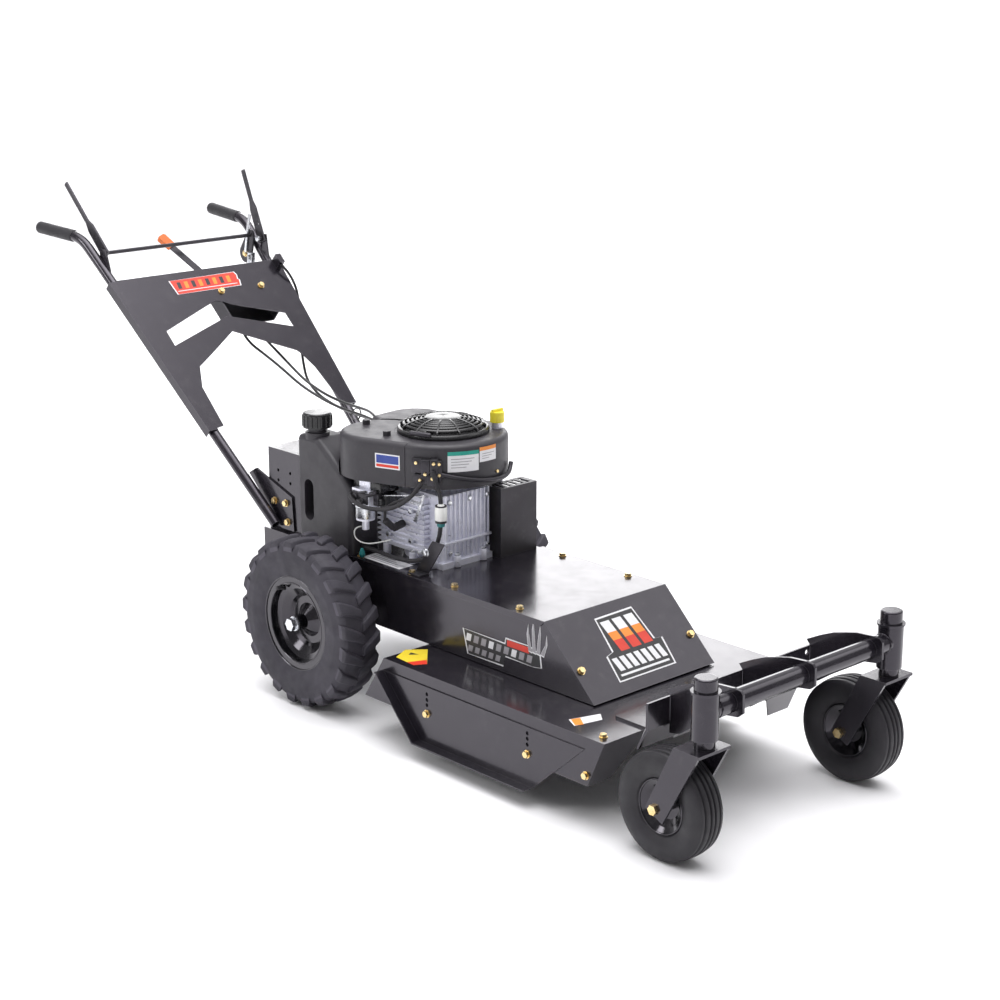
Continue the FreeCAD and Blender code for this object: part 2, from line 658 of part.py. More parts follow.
def control_panel():
    """Sheet panel across the handle tubes: chevron slot, folded side flanges and a cable anchor."""
    gauge = size("panel_gauge")
    lift = size("tube_radius") + 0.3
    plan = [(147, -240), (147, 240), (250, 236), (315, 231), (628, 209), (625, 190),
            (506, 176), (458, 160), (445, 152), (412, 96), (354, 0),
            (412, -96), (445, -153), (507, -180), (628, -184), (632, -212)]
    slot = [(323, -187), (371, -187), (306, 10), (371, 187), (323, 187), (271, 44), (256, 18), (252, 1)]
    face = prism([on_panel(a, y, lift) for a, y in plan], handle_normal() * gauge)
    opening = prism([on_panel(a, y, lift - 5) for a, y in slot], handle_normal() * (gauge + 10))
    shape = face.cut(opening)
    for sign in SIDES.values():
        edge = [(150, 262.5), (335, 249.5), (636, 228), (636, 231), (335, 252.5), (150, 265.5)]
        flange = prism([on_panel(a, sign * y, lift + gauge) for a, y in edge], handle_normal() * -24)
        web = [(150, 236), (636, 205), (636, 231), (150, 265.5)]
        top = prism([on_panel(a, sign * y, lift) for a, y in web], handle_normal() * gauge)
        shape = shape.fuse([flange, top])
    anchor = prism([on_panel(a, y, lift + 1) for a, y in ((150, 243), (178, 243), (178, 259), (150, 259))],
                   handle_normal() * 28)
    return keep_shape(shape.fuse(anchor).removeSplitter(), "control_panel")


def rear_console():
    """Upright sheet box behind the fuel tank that carries the handlebar."""
    body = new_body("rear_console")
    back = size("console_back")
    front = size("console_front")
    base = sketch_on(body, "XY_Plane", size("frame_top"))
    half = size("console_half")
    draw_outline(base, [(back, -half), (front, -half), (front, half), (back, half)])
    pad(body, base, "Sizes.console_top - Sizes.frame_top")
    hollow = sketch_on(body, "XY_Plane", size("frame_top") - 1)
    gauge = 3
    draw_outline(hollow, [(back + gauge, -half + gauge), (front - gauge, -half + gauge),
                          (front - gauge, half - gauge), (back + gauge, half - gauge)])
    pocket(body, hollow, "Sizes.console_top - Sizes.frame_top - 2", reverse=True)
    holes = sketch_on(body, "XZ_Plane")
    for along in (-253, -206):
        for height in (468, 493):
            draw_circle(holes, along, height, 4.2)
    pocket(body, holes, "2 * Sizes.console_half + 20", symmetric=True)
    return keep(body, "rear_console")


BRACKET_BOLTS = ((-262, 416), (-218, 418), (-212, 372))


def handle_brackets():
    """Gusset plates that clamp the handle tubes to the console, one on each side."""
    outline = [(-365, 466), (-335, 483), (-196, 436), (-190, 352), (-240, 352)]
    plates = []
    for sign in SIDES.values():
        inner = sign * (size("console_half") + 0.05)
        corners = [(x, inner, z) for x, z in outline]
        plates.append(prism(corners, (0, sign * (size("bracket_gauge") - 0.1), 0)))
    return keep_shape(Part.makeCompound(plates), "handle_brackets")


# ---------------------------------------------------------------- controls

def lever_blade(root, tip, across, gauge, wide, narrow):
    """A flat lever that tapers from a wide foot to a narrow tip, in a plane of constant Y."""
    low = Vec(root[0], across, root[1])
    high = Vec(tip[0], across, tip[1])
    run = (high - low).normalize()
    square = run.cross(LEFT)
    shoulder = low + run * 82
    corners = [low + square * wide - run * 10, low - square * wide - run * 10,
               shoulder - square * wide * 0.9,
               shoulder + run * 22 - square * narrow, high - square * narrow, high + square * narrow,
               shoulder + run * 22 + square * narrow, shoulder + square * wide * 0.9]
    return prism([tuple(corner) for corner in corners], (0, gauge, 0))


def drive_lever():
    """Drive lever beside the right grip, welded to the cross rod's end."""
    across = -size("lever_y") - 2.5
    blade = lever_blade((size("lever_x"), size("lever_z")), (-1039, 1114), across, 5, 15, 6)
    hole = rod((size("lever_x"), -260, size("lever_z")), (size("lever_x"), -200, size("lever_z")),
               size("rod_radius"))
    relief = rod((-905, -260, 986), (-905, -200, 986), 4)
    return keep_shape(blade.cut(hole).cut(relief), "drive_lever")


def cross_rod():
    """Rod that carries the drive lever's turn across to the cam plate on the left."""
    across = size("lever_y")
    bar = rod((size("lever_x"), -across - 6, size("lever_z")),
              (size("lever_x"), across - 6, size("lever_z")),
              size("rod_radius"))
    plate_low = Vec(-893, across - 12, 902)
    plate_high = Vec(size("lever_x"), across - 12, size("lever_z"))
    run = (plate_low - plate_high).normalize()
    square = run.cross(LEFT)
    cam = Part.makeCylinder(26, 5, plate_low, LEFT).fuse(Part.makeCylinder(15, 5, plate_high, LEFT))
    web = prism([tuple(plate_high + square * 15), tuple(plate_low + square * 26),
                 tuple(plate_low - square * 26), tuple(plate_high - square * 15)], (0, 5, 0))
    return keep_shape(bar.fuse([cam, web]).removeSplitter(), "cross_rod")


def blade_lever():
    """Blade lever beside the left grip, with the hole that its pivot pin runs in."""
    across = size("lever_y") - 1.5
    root = (size("blade_lever_x"), size("blade_lever_z"))
    blade = lever_blade(root, (-911, 1122), across, 5, 14, 6)
    pin = rod((root[0], across - 20, root[1]), (root[0], across + 20, root[1]), 5.05)
    relief = rod((-850, across - 20, 984), (-850, across + 20, 984), 4)
    return keep_shape(blade.cut(pin).cut(relief), "blade_lever")


def shift_lever():
    """Flat bar that swings across the machine on a pin behind the control panel."""
    pivot = (size("shift_along"), size("shift_y"))
    tip = (30, -21)
    run = Vec(tip[0] - pivot[0], tip[1] - pivot[1], 0).normalize()
    square = Vec(-run.y, run.x, 0)
    corners = []
    for end, sign in ((pivot, -1), (pivot, 1), (tip, 1), (tip, -1)):
        reach = -14 if end is pivot else 0
        edge = Vec(end[0], end[1], 0) + run * reach + square * (sign * 9)
        corners.append((edge.x, edge.y))
    bar = prism([on_panel(a, y, -5) for a, y in corners], handle_normal() * 5)
    hole = Part.makeCylinder(6, 60, on_panel(pivot[0], pivot[1], -30), handle_normal())
    return keep_shape(bar.cut(hole), "shift_lever")


def shift_knob():
    """Moulded grip over the end of the shift lever."""
    pivot = (size("shift_along"), size("shift_y"))
    tip = Vec(30, -21, 0)
    run = (tip - Vec(pivot[0], pivot[1], 0)).normalize()
    square = Vec(-run.y, run.x, 0)
    start = tip - run * 20.6
    corners = []
    for reach, half in ((0, 11), (37, 13), (42, 9), (42, -9), (37, -13), (0, -11)):
        point = start + run * reach + square * half
        corners.append((point.x, point.y))
    knob = prism([on_panel(a, y, -9) for a, y in corners], handle_normal() * 13)
    slot_corners = []
    for reach, half in ((-5, 9), (20.6, 9), (20.6, -9), (-5, -9)):
        point = start + run * reach + square * half
        slot_corners.append((point.x, point.y))
    slot = prism([on_panel(a, y, -5) for a, y in slot_corners], handle_normal() * 5)
    return keep_shape(knob.cut(slot), "shift_knob")


def control_box():
    """Folded bracket behind the panel with the shift lever's pivot pin and three cable ports."""
    lift = size("tube_radius")
    back = prism([on_panel(a, y, -30) for a, y in ((205, 22), (205, 180), (310, 180), (310, 22))],
                 handle_normal() * 3)
    walls = []
    for across in (22, 177):
        corners = [on_panel(a, y, -27) for a, y in ((205, across), (205, across + 3), (310, across + 3),
                                                    (310, across))]
        walls.append(prism(corners, handle_normal() * (lift + 27)))
    foot = on_panel(size("shift_along"), size("shift_y"), -27)
    pin = Part.makeCylinder(size("shift_pin_radius"), lift + 27, foot,
                            handle_normal())
    return keep_shape(back.fuse(walls + [pin]).removeSplitter(), "control_box")


def cables():
    """Three control cables from the handlebar down to the machine, each along its real route."""
    routes = {
        "blade_cable": [on_panel(178.5, 251, 32), on_panel(212, 261, 29), on_panel(245, 271, 12),
                        on_panel(292, 270, -17), on_panel(350, 246, -42), (-635, 206, 652),
                        (-575, 172, 610), (-500, 154, 584), (-420, 150, 568), (-335, 148, 562),
                        (-250, 140, 564), (-170, 122, 560), (-122, 102, 515), (-108, 94, 440),
                        (-106, 94, 350)],
        "drive_cable": [on_panel(306, 60, -20), on_panel(366, 62, -28), (-600, 92, 664), (-530, 120, 610),
                        (-450, 134, 582), (-370, 134, 572), (-290, 124, 574), (-205, 106, 574),
                        (-146, 84, 540),
                        (-122, 74, 470), (-116, 72, 410), (-114, 72, 350)],
        "throttle_cable": [on_panel(306, 110, -20), on_panel(366, 116, -27), (-612, 132, 664),
                           (-550, 146, 618),
                           (-475, 150, 594), (-400, 146, 586), (-320, 134, 588), (-245, 112, 594),
                           (-185, 84, 590),
                           (-150, 56, 540), (-118, 20, 480), (-70, -10, 470), (-20, -30, 474)],
    }
    for label, route in routes.items():
        keep_shape(round_tube([tuple(point) for point in route], 3.5), label)


# ---------------------------------------------------------------- engine

def crankcase():
    """Cast crankcase: a round case with a square front, a base flange and an oil filler neck."""
    x = size("engine_x")
    top = size("housing_low") - 0.3
    base = size("frame_top") + 0.2
    case = rod((x, 0, base + 14), (x, 0, top), size("crankcase_radius"))
    block = box((x, -98, base + 14), (262, 46, top - 20))
    block = block.makeFillet(16, [edge for edge in block.Edges if abs(edge.tangentAt(0).z) > 0.9])
    flange = rod((x, 0, base), (x, 0, base + 14), size("crankcase_radius") + 8)
    foot = box((x, -104, base), (268, 50, base + 14))
    fill_x = size("filler_x")
    fill_y = size("filler_y")
    neck = rod((fill_x, fill_y, base + 60), (fill_x, fill_y, size("housing_high") + 14), 13)
    elbow = rod((170, 60, base + 70), (fill_x, fill_y, base + 70), 13)
    shape = case.fuse([block, flange, foot, neck, elbow])
    shape = shape.cut(rod((x, 0, base - 10), (x, 0, top + 10), size("shaft_bore_radius")))
    return keep_shape(shape.removeSplitter(), "crankcase")


def cylinder_head():
    """Finned cylinder and head on the crankcase's right-hand side."""
    base = size("frame_top") + 26
    core = box((62, -112, base), (214, -60, base + 134))
    core = core.cut(rod((size("engine_x"), 0, 300), (size("engine_x"), 0, 600),
                        size("crankcase_radius") + 0.1))
    core = core.cut(box((size("engine_x"), -98.1, 300), (262, 46, 600)))
    fins = []
    for step in range(10):
        foot = base + 8 + 12 * step
        fins.append(box((56, -118, foot), (220, -98.2, foot + 4)))
    return keep_shape(core.fuse(fins).removeSplitter(), "cylinder_head")


def housing_outline():
    """Plan of the blower housing: a circle about the crankshaft that runs out to the rear."""
    x = size("engine_x")
    low = size("housing_low")
    high = size("housing_high")
    main = rod((x, 0, low), (x, 0, high), size("housing_radius"))
    rear = rod((-8, 55, low), (-8, 55, high), 76)
    bridge = prism([(x, 149.9, low), (10, 129, low), (-70, 96, low), (-84, 50, low), (-76, -20, low),
                    (x, -120, low)],
                   (0, 0, high - low))
    return main.fuse([rear, bridge]).removeSplitter()


def cleaner_outline(grow=0.0):
    """Plan of the air cleaner cover beside the blower housing, swollen by grow."""
    low = size("housing_low") - grow
    tall = size("housing_high") + grow - low
    x = size("cleaner_x")
    y = size("cleaner_y")
    end = Part.makeCylinder(size("cleaner_radius") + grow, tall, Vec(x, y, low))
    flank = prism([(x, y, low), (x + 34.4 + grow * 0.3, y - 93.9 - grow, low),
                   (190 + grow, -147.3 - grow, low),
                   (190 + grow, -26, low), (x, -26, low)], (0, 0, tall))
    core = rod((size("engine_x"), 0, low - 5), (size("engine_x"), 0, low + tall + 5),
               size("dome_radius") + 6 - grow)
    return end.fuse(flank).cut(core).removeSplitter()


def top_edges(shape, height):
    """The outline edges that lie at one height."""
    found = []
    for edge in shape.Edges:
        if abs(edge.BoundBox.ZMin - height) < 0.1 and abs(edge.BoundBox.ZMax - height) < 0.1:
            found.append(edge)
    return found


def beside_housing(edge):
    """True for an edge of the air cleaner cover that meets the blower housing."""
    middle = edge.valueAt((edge.FirstParameter + edge.LastParameter) / 2)
    reach = math.hypot(middle.x - size("engine_x"), middle.y)
    return reach < size("dome_radius") + 8 or middle.x > 189 or middle.y > -27


def blower_housing():
    """Moulded engine shroud, open below, with room for the flywheel."""
    high = size("housing_high")
    outer = housing_outline()
    outer = outer.makeFillet(size("housing_round"), top_edges(outer, high))
    outer = outer.cut(cleaner_outline(0.6))
    outer = max(outer.Solids, key=lambda solid: solid.Volume)
    x = size("engine_x")
    hollow = rod((x, 0, size("housing_low") - 1), (x, 0, high - 4), size("flywheel_radius") + 8)
    neck = rod((size("filler_x"), size("filler_y"), 500), (size("filler_x"), size("filler_y"), high + 20),
               13.4)
    return keep_shape(outer.cut(hollow).cut(neck).removeSplitter(), "blower_housing")


def air_cleaner_cover():
    """Air cleaner cover with a rounded top edge and its two knobs."""
    high = size("housing_high")
    shape = cleaner_outline()
    shape = max(shape.Solids, key=lambda solid: solid.Volume)
    outside = [edge for edge in top_edges(shape, high) if not beside_housing(edge)]
    shape = shape.makeFillet(size("housing_round"), outside)
    knobs = [rod((x, y, high), (x, y, high + 11), 9) for x, y in ((-12, -91), (104, -126))]
    return keep_shape(shape.fuse(knobs).removeSplitter(), "air_cleaner_cover")


def recoil_cover():
    """Domed starter cover on top of the blower housing."""
    high = size("housing_high") + 0.2
    radius = size("dome_radius")
    rise = size("dome_rise")
    body = new_body("recoil_cover")
    profile = sketch_on(body, "XZ_Plane")
    outline = [(0, high), (radius, high), (radius, high + 8), (radius * 0.9, high + rise * 0.55),
               (radius * 0.7, high + rise * 0.86), (radius * 0.4, high + rise), (0, high + rise)]
    draw_outline(profile, outline)
    revolve(body, profile)
    keep(body, "recoil_cover")
    body.setExpression("Placement.Base.x", "Sizes.rear_axle_x + Sizes.engine_x")


def oil_cap():
    """Screw cap of the oil filler."""
    high = size("housing_high") + 14.4
    x = size("filler_x")
    y = size("filler_y")
    cap = rod((x, y, high), (x, y, high + 24), 17)
    wing = box((x - 3, y - 16, high + 24), (x + 3, y + 16, high + 31))
    return keep_shape(cap.fuse(wing), "oil_cap")


def carburettor():
    """Carburettor body, bowl and fuel solenoid under the air cleaner cover, with the intake duct."""
    under = size("housing_low") - 0.3
    body = box((44, -182, 472), (104, -134, 512))
    bowl = rod((66, -162, 436), (66, -162, 472), 22)
    solenoid = rod((66, -162, 412), (66, -162, 436), 8.5)
    intake = box((84, -134, 476), (104, -118.3, 508))
    duct = box((56, -170, 512), (94, -140, under))
    return keep_shape(body.fuse([bowl, solenoid, intake, duct]).removeSplitter(), "carburettor")


def fuel_tank():
    """Blow-moulded fuel tank with rounded edges, a grip slot, a sloping shoulder and a filler neck."""
    floor = size("frame_top") + 0.2
    side = [(-160, floor), (38, floor), (38, 500), (5, 536), (-84, 603), (-160, 603)]
    tank = prism([(x, -183, z) for x, z in side], (0, 88, 0))
    upper = [edge for edge in tank.Edges if edge.BoundBox.ZMax > floor + 10]
    tank = tank.makeFillet(size("tank_round"), upper)
    tank = tank.cut(cleaner_outline(4))
    tank = max(tank.Solids, key=lambda solid: solid.Volume)
    neck = rod((-115, -155, 590), (-115, -155, 622), 22)
    collar = rod((-115, -155, 595), (-115, -155, 611), 29)
    tank = tank.fuse([neck, collar])
    slot = box((-134, -200, 416), (-100, -60, 482))
    slot = slot.fuse([rod((-117, -200, height), (-117, -60, height), 17) for height in (416, 482)])
    return keep_shape(tank.cut(slot).removeSplitter(), "fuel_tank")


def fuel_cap():
    """Ribbed fuel cap."""
    cap = rod((-115, -155, 622.4), (-115, -155, 658), 34)
    cap = cap.makeFillet(5, top_edges(cap, 658))
    ribs = []
    for step in range(18):
        angle = math.radians(20 * step)
        x = -115 + 34 * math.cos(angle)
        y = -155 + 34 * math.sin(angle)
        ribs.append(rod((x, y, 626), (x, y, 652), 2.2))
    return keep_shape(cap.fuse(ribs).removeSplitter(), "fuel_cap")


def fuel_line():
    """Fuel hose from the tank's outlet round to the inline filter and up to the pump."""
    low = round_tube([(38.3, -150, 362), (95, -150, 362), (160, -156, 362), (222, -152, 366),
                      (268, -138, 388),
                      (284, -128, 428), (284, -122, 466)], 5)
    filter_body = rod((284, -122, 466), (284, -122, 506), 13)
    high = round_tube([(284, -122, 506), (284, -124, 530), (280, -132, 556), (270, -134, 584)], 5)
    return keep_shape(Part.makeCompound([low, filter_body, high]), "fuel_line")


def muffler_guard():
    """Folded guard round the muffler with a louvred top, open towards the engine."""
    base = size("frame_top") + 0.2
    outer = box((241, 54, base), (293, 168, 512))
    inner = box((230, 57, base - 1), (290, 165, 509))
    slots = [box((250, 64 + 20 * step, 500), (286, 74 + 20 * step, 520)) for step in range(5)]
    return keep_shape(outer.cut(inner).cut(slots[0].fuse(slots[1:])).removeSplitter(), "muffler_guard")


def muffler():
    """Muffler can with its outlet stub."""
    can = rod((265, 62, 440), (265, 158, 440), 21)
    can = can.makeFillet(6, can.Edges[:1] + can.Edges[2:3])
    stub = rod((265, 110, 400), (265, 110, 422), 10)
    return keep_shape(can.fuse(stub).removeSplitter(), "muffler")


# ---------------------------------------------------------------- drive line

def groove_points(radius, middle):
    """Rim of a V-belt pulley round one groove, from its lower edge to its upper edge."""
    return [(radius, middle - 8), (radius, middle - 6), (radius - size("groove_depth"), middle),
            (radius, middle + 6), (radius, middle + 8)]


def turned_upright(label, outline, axle):
    """Turn an outline of (radius, height) about a vertical line through an alias's X."""
    body = new_body(label)
    profile = sketch_on(body, "XZ_Plane")
    draw_outline(profile, outline)
    revolve(body, profile)
    keep(body, label)
    body.setExpression("Placement.Base.x", "Sizes.rear_axle_x + Sizes." + axle)
    return body


def crank_line():
    """Crankshaft, flywheel and the two-groove engine pulley, which turn together."""
    shaft = size("shaft_radius")
    turned_upright("crankshaft", [(0, 276), (shaft, 276), (shaft, 612), (0, 612)], "engine_x")
    wheel = size("flywheel_radius")
    turned_upright("flywheel", [(shaft, 560), (40, 560), (wheel, 572), (wheel, 600), (30, 600),
                                (shaft, 604)],
                   "engine_x")
    radius = size("drive_pulley_radius")
    low = size("wheel_belt_height")
    high = size("belt_height")
    rim = groove_points(radius, low) + groove_points(radius, high)
    turned_upright("engine_pulley", [(shaft, low - 8)] + rim + [(shaft, high + 8)], "engine_x")


def blade_line():
    """Spindle housing on the deck, the spindle with its pulley, and the blade bar."""
    bore = size("spindle_bore_radius")
    shaft = size("spindle_radius")
    top = size("deck_top")
    housing = [(bore, top - 40), (32, top - 40), (32, top + 0.3), (62, top + 0.3), (62, top + 9),
               (34, top + 9),
               (34, 286), (bore, 286)]
    turned_upright("spindle_housing", housing, "blade_x")
    belt = size("belt_height")
    spindle = [(0, 104), (20, 104), (20, 108), (shaft, 108), (shaft, belt - 8)]
    spindle += groove_points(size("blade_pulley_radius"), belt) + [(0, belt + 8)]
    turned_upright("blade_spindle", spindle, "blade_x")
    x = size("blade_x")
    reach = size("blade_radius")
    height = size("blade_height")
    corners = [(reach, -31), (reach, 31), (60, 38), (-60, 38), (-reach, 31), (-reach, -31), (-60, -38),
               (60, -38)]
    blade = prism([(x + along, across, height) for along, across in corners], (0, 0, size("blade_gauge")))
    blade = blade.cut(rod((x, 0, height - 20), (x, 0, height + 20), shaft))
    keep_shape(blade, "blade_bar")


def idler_arm():
    """Clutch idler that tightens the blade belt: an arm on a post, with its flat pulley."""
    wheel_at = Vec(size("idler_x"), size("idler_y"), 0)
    pivot = Vec(size("idler_pivot_x"), size("idler_pivot_y"), 0)
    run = (pivot - wheel_at).normalize()
    square = Vec(-run.y, run.x, 0) * 13
    low = UP * 316
    corners = [wheel_at + square + low, pivot + square + low, pivot - square + low, wheel_at - square + low]
    arm = prism([tuple(corner) for corner in corners], (0, 0, 6))
    ends = [Part.makeCylinder(13, 6, wheel_at + low), Part.makeCylinder(16, 6, pivot + low)]
    wheel = Part.makeCylinder(28, 20, wheel_at + UP * 296)
    shape = arm.fuse(ends + [wheel])
    bore = Part.makeCylinder(size("idler_bore_radius"), 60, pivot + UP * 290)
    return keep_shape(shape.cut(bore).removeSplitter(), "idler_arm")


def belt_loop(first, last, height):
    """One V-belt round two pulleys, each given as (x, rim radius)."""
    thick = size("belt_thickness")
    low = height - thick / 2
    rings = []
    for grow in (3.0, -2.3):
        start = Vec(first[0], 0, low)
        end = Vec(last[0], 0, low)
        near = first[1] + grow
        far = last[1] + grow
        lean = math.asin((far - near) / (end.x - start.x))
        corners = []
        for centre, radius, sign in ((start, near, 1), (end, far, 1), (end, far, -1), (start, near, -1)):
            corners.append((centre.x - radius * math.sin(lean), sign * radius * math.cos(lean), low))
        run = prism(corners, (0, 0, thick))
        discs = [Part.makeCylinder(near, thick, start), Part.makeCylinder(far, thick, end)]
        rings.append(run.fuse(discs).removeSplitter())
    return rings[0].cut(rings[1])


def drive_belts():
    """The blade belt and the wheel-drive belt, in the shape they run in."""
    engine = (size("engine_x"), size("drive_pulley_radius"))
    blade = (size("blade_x"), size("blade_pulley_radius"))
    wheels = (size("wheel_pulley_x"), size("wheel_pulley_radius"))
    loops = [belt_loop(engine, blade, size("belt_height")),
             belt_loop(wheels, engine, size("wheel_belt_height"))]
    return keep_shape(Part.makeCompound(loops), "drive_belts")


# ---------------------------------------------------------------- build and export

def build():
    main_frame()
    belt_cover()
    deck_shell()
    deck_bolts()
    frame_bolts()
    caster_carriage()
    for side_name in SIDES:
        skid_plate(side_name)
        caster_fork(side_name)
        kingpin(side_name)
        caster_axle(side_name)
        caster_wheel(side_name)
        rear_wheel(side_name)
        axle_shaft(side_name)
        handle_tube(side_name)
    transaxle()
    rear_console()
    handle_brackets()
    grips()
    control_panel()
    drive_lever()
    cross_rod()
    blade_lever()
    shift_lever()
    shift_knob()
    control_box()
    cables()
    crankcase()
    cylinder_head()
    blower_housing()
    air_cleaner_cover()
    recoil_cover()
    oil_cap()
    carburettor()
    fuel_tank()
    fuel_cap()
    fuel_line()
    muffler_guard()
    muffler()
    crank_line()
    blade_line()
    idler_arm()
    drive_belts()


def export():
    """Check every object, then write each sub-part to its own STEP file."""
    doc.recompute()
    for item in doc.Objects:
        assert "Invalid" not in item.State and "Error" not in item.State, item.Name
    os.makedirs("parts", exist_ok=True)
    for thing in pieces:
        shape = thing.Shape
        assert not shape.isNull() and shape.isValid(), thing.Label
        shape.exportStep("parts/%s.step" % thing.Label)
        print("%-20s solids %2d  volume %9.0f" % (thing.Label, len(shape.Solids), shape.Volume))
    print(len(pieces), "sub-parts")


build()
export()
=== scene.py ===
import json
import math

import bmesh
import bpy
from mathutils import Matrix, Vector


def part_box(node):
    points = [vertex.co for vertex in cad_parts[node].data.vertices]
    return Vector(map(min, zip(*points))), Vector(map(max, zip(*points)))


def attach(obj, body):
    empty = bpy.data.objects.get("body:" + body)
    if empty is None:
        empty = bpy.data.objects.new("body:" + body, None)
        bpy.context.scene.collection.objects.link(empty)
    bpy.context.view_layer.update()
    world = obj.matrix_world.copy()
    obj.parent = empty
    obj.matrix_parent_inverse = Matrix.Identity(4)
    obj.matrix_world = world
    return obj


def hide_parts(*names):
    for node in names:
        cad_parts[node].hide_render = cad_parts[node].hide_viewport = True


# Looks of the walk-behind brush mower. The helper at(), the outlines, the profiles and the radii
# are in millimetres, with X from the rear axle line and Z from the ground. Vectors, bevel widths
# and distances inside a material are in metres.

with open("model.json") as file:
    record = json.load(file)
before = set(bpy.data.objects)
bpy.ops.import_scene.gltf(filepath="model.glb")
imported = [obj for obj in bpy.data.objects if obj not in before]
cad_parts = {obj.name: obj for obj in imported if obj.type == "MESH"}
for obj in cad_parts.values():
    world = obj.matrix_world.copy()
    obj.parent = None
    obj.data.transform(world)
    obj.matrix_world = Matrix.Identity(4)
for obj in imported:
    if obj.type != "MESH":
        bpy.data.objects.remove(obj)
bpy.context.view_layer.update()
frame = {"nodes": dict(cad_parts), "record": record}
nodes = frame["nodes"]
scene = bpy.context.scene

REAR_AXLE_X = -0.071
ENGINE = (156.0, 0.0)
DOME_FOOT = 636.2
DOME_RISE = 35.8
DOME_REACH = 112.0
DOME_ROUNDNESS = 2.4
HOUSING_RADIUS = 150.0
FRAME_TOP = 345
DECK_TOP = 198
SIDES = {"right": -1, "left": 1}

HALF_MM = 500
REAR_BEAD = 101.0
LUG_COUNT = 21
LUG_MARGIN = 0.4
LUG_HEIGHT = 7.5

SHARP_TURN = 0.6
SAME_POINT = 1e-7
FLOOR_LEVEL = -0.0006


def at(x, y, z):
    """A point given in millimetres from the rear axle line, in metres in the row frame."""
    return Vector((x / 1000 + REAR_AXLE_X, y / 1000, z / 1000))


# ---------------------------------------------------------------- materials

class Graph:
    """A small builder for a material's node tree."""

    def __init__(self, name):
        self.material = bpy.data.materials.new(name)
        self.material.use_nodes = True
        self.tree = self.material.node_tree
        self.shader = self.tree.nodes["Principled BSDF"]
        self.place = self.add("ShaderNodeTexCoord").outputs["Object"]

    def add(self, kind, **values):
        """A new node of a kind, with its settings."""
        node = self.tree.nodes.new(kind)
        for key, value in values.items():
            setattr(node, key, value)
        return node

    def link(self, source, target):
        self.tree.links.new(source, target)

    def noise(self, scale, detail=4.0, rough=0.55, stretch=None):
        """A noise value, 0 to 1; stretch squeezes it along the axes like a brushed grain."""
        node = self.add("ShaderNodeTexNoise")
        node.inputs["Scale"].default_value = scale
        node.inputs["Detail"].default_value = detail
        node.inputs["Roughness"].default_value = rough
        place = self.place
        if stretch:
            mapping = self.add("ShaderNodeMapping")
            mapping.inputs["Scale"].default_value = stretch
            self.link(place, mapping.inputs["Vector"])
            place = mapping.outputs["Vector"]
        self.link(place, node.inputs["Vector"])
        return node.outputs["Fac"]

    def span(self, value, low, high, start=0.0, end=1.0):
        """Map a value from start..end to low..high, clamped."""
        node = self.add("ShaderNodeMapRange")
        node.inputs["From Min"].default_value = start
        node.inputs["From Max"].default_value = end
        node.inputs["To Min"].default_value = low
        node.inputs["To Max"].default_value = high
        self.link(value, node.inputs["Value"])
        return node.outputs["Result"]

    def blend(self, factor, first, second):
        """Mix two colours, each a triple or a socket, by a factor socket."""
        node = self.add("ShaderNodeMix", data_type="RGBA")
        self.link(factor, node.inputs["Factor"])
        for socket, colour in ((node.inputs["A"], first), (node.inputs["B"], second)):
            if isinstance(colour, tuple):
                socket.default_value = colour + (1.0,)
            else:
                self.link(colour, socket)
        return node.outputs["Result"]

    def edge(self, reach, start=0.03, end=0.22):
        """1 along worn outer edges and 0 elsewhere, from the surface's own bevelled normal."""
        bevel = self.add("ShaderNodeBevel", samples=4)
        bevel.inputs["Radius"].default_value = reach
        geometry = self.add("ShaderNodeNewGeometry")
        dot = self.add("ShaderNodeVectorMath", operation="DOT_PRODUCT")
        self.link(bevel.outputs["Normal"], dot.inputs[0])
        self.link(geometry.outputs["Normal"], dot.inputs[1])
        return self.span(dot.outputs["Value"], 1.0, 0.0, 1.0 - end, 1.0 - start)

    def bump(self, height, depth, strength):
        """A normal that follows a height socket, depth metres deep."""
        node = self.add("ShaderNodeBump")
        node.inputs["Distance"].default_value = depth
        node.inputs["Strength"].default_value = strength
        self.link(height, node.inputs["Height"])
        return node.outputs["Normal"]

    def finish(self, colour, rough, normal=None, **settings):
        """Join colour, roughness and bump to the shader, and set its constant values."""
        for key, value in (("Base Color", colour), ("Roughness", rough), ("Normal", normal)):
            if value is not None:
                self.link(value, self.shader.inputs[key])
        for key, value in settings.items():
            self.shader.inputs[key.replace("_", " ")].default_value = value
        return self.material


def powder_coat(name, dark, light, rough=(0.2, 0.32), coat=0.35):
    """Baked powder coat: orange peel, faint dust and slightly paler worn edges."""
    g = Graph(name)
    cloud = g.noise(5.0, 5.0)
    dust = g.span(g.noise(38.0, 6.0, 0.7), 0.0, 1.0, 0.52, 0.8)
    colour = g.blend(cloud, dark, light)
    colour = g.blend(g.span(dust, 0.0, 0.16), colour, (0.16, 0.155, 0.15))
    colour = g.blend(g.span(g.edge(0.0022), 0.0, 0.35), colour, (0.14, 0.14, 0.15))
    peel = g.bump(g.noise(420.0, 2.0), 0.00022, 0.35)
    roughness = g.span(g.noise(16.0, 5.0), rough[0], rough[1], 0.3, 0.7)
    return g.finish(colour, roughness, peel, Coat_Weight=coat, Coat_Roughness=0.12,
                    Specular_Tint=(0.93, 0.86, 1.0, 1.0))


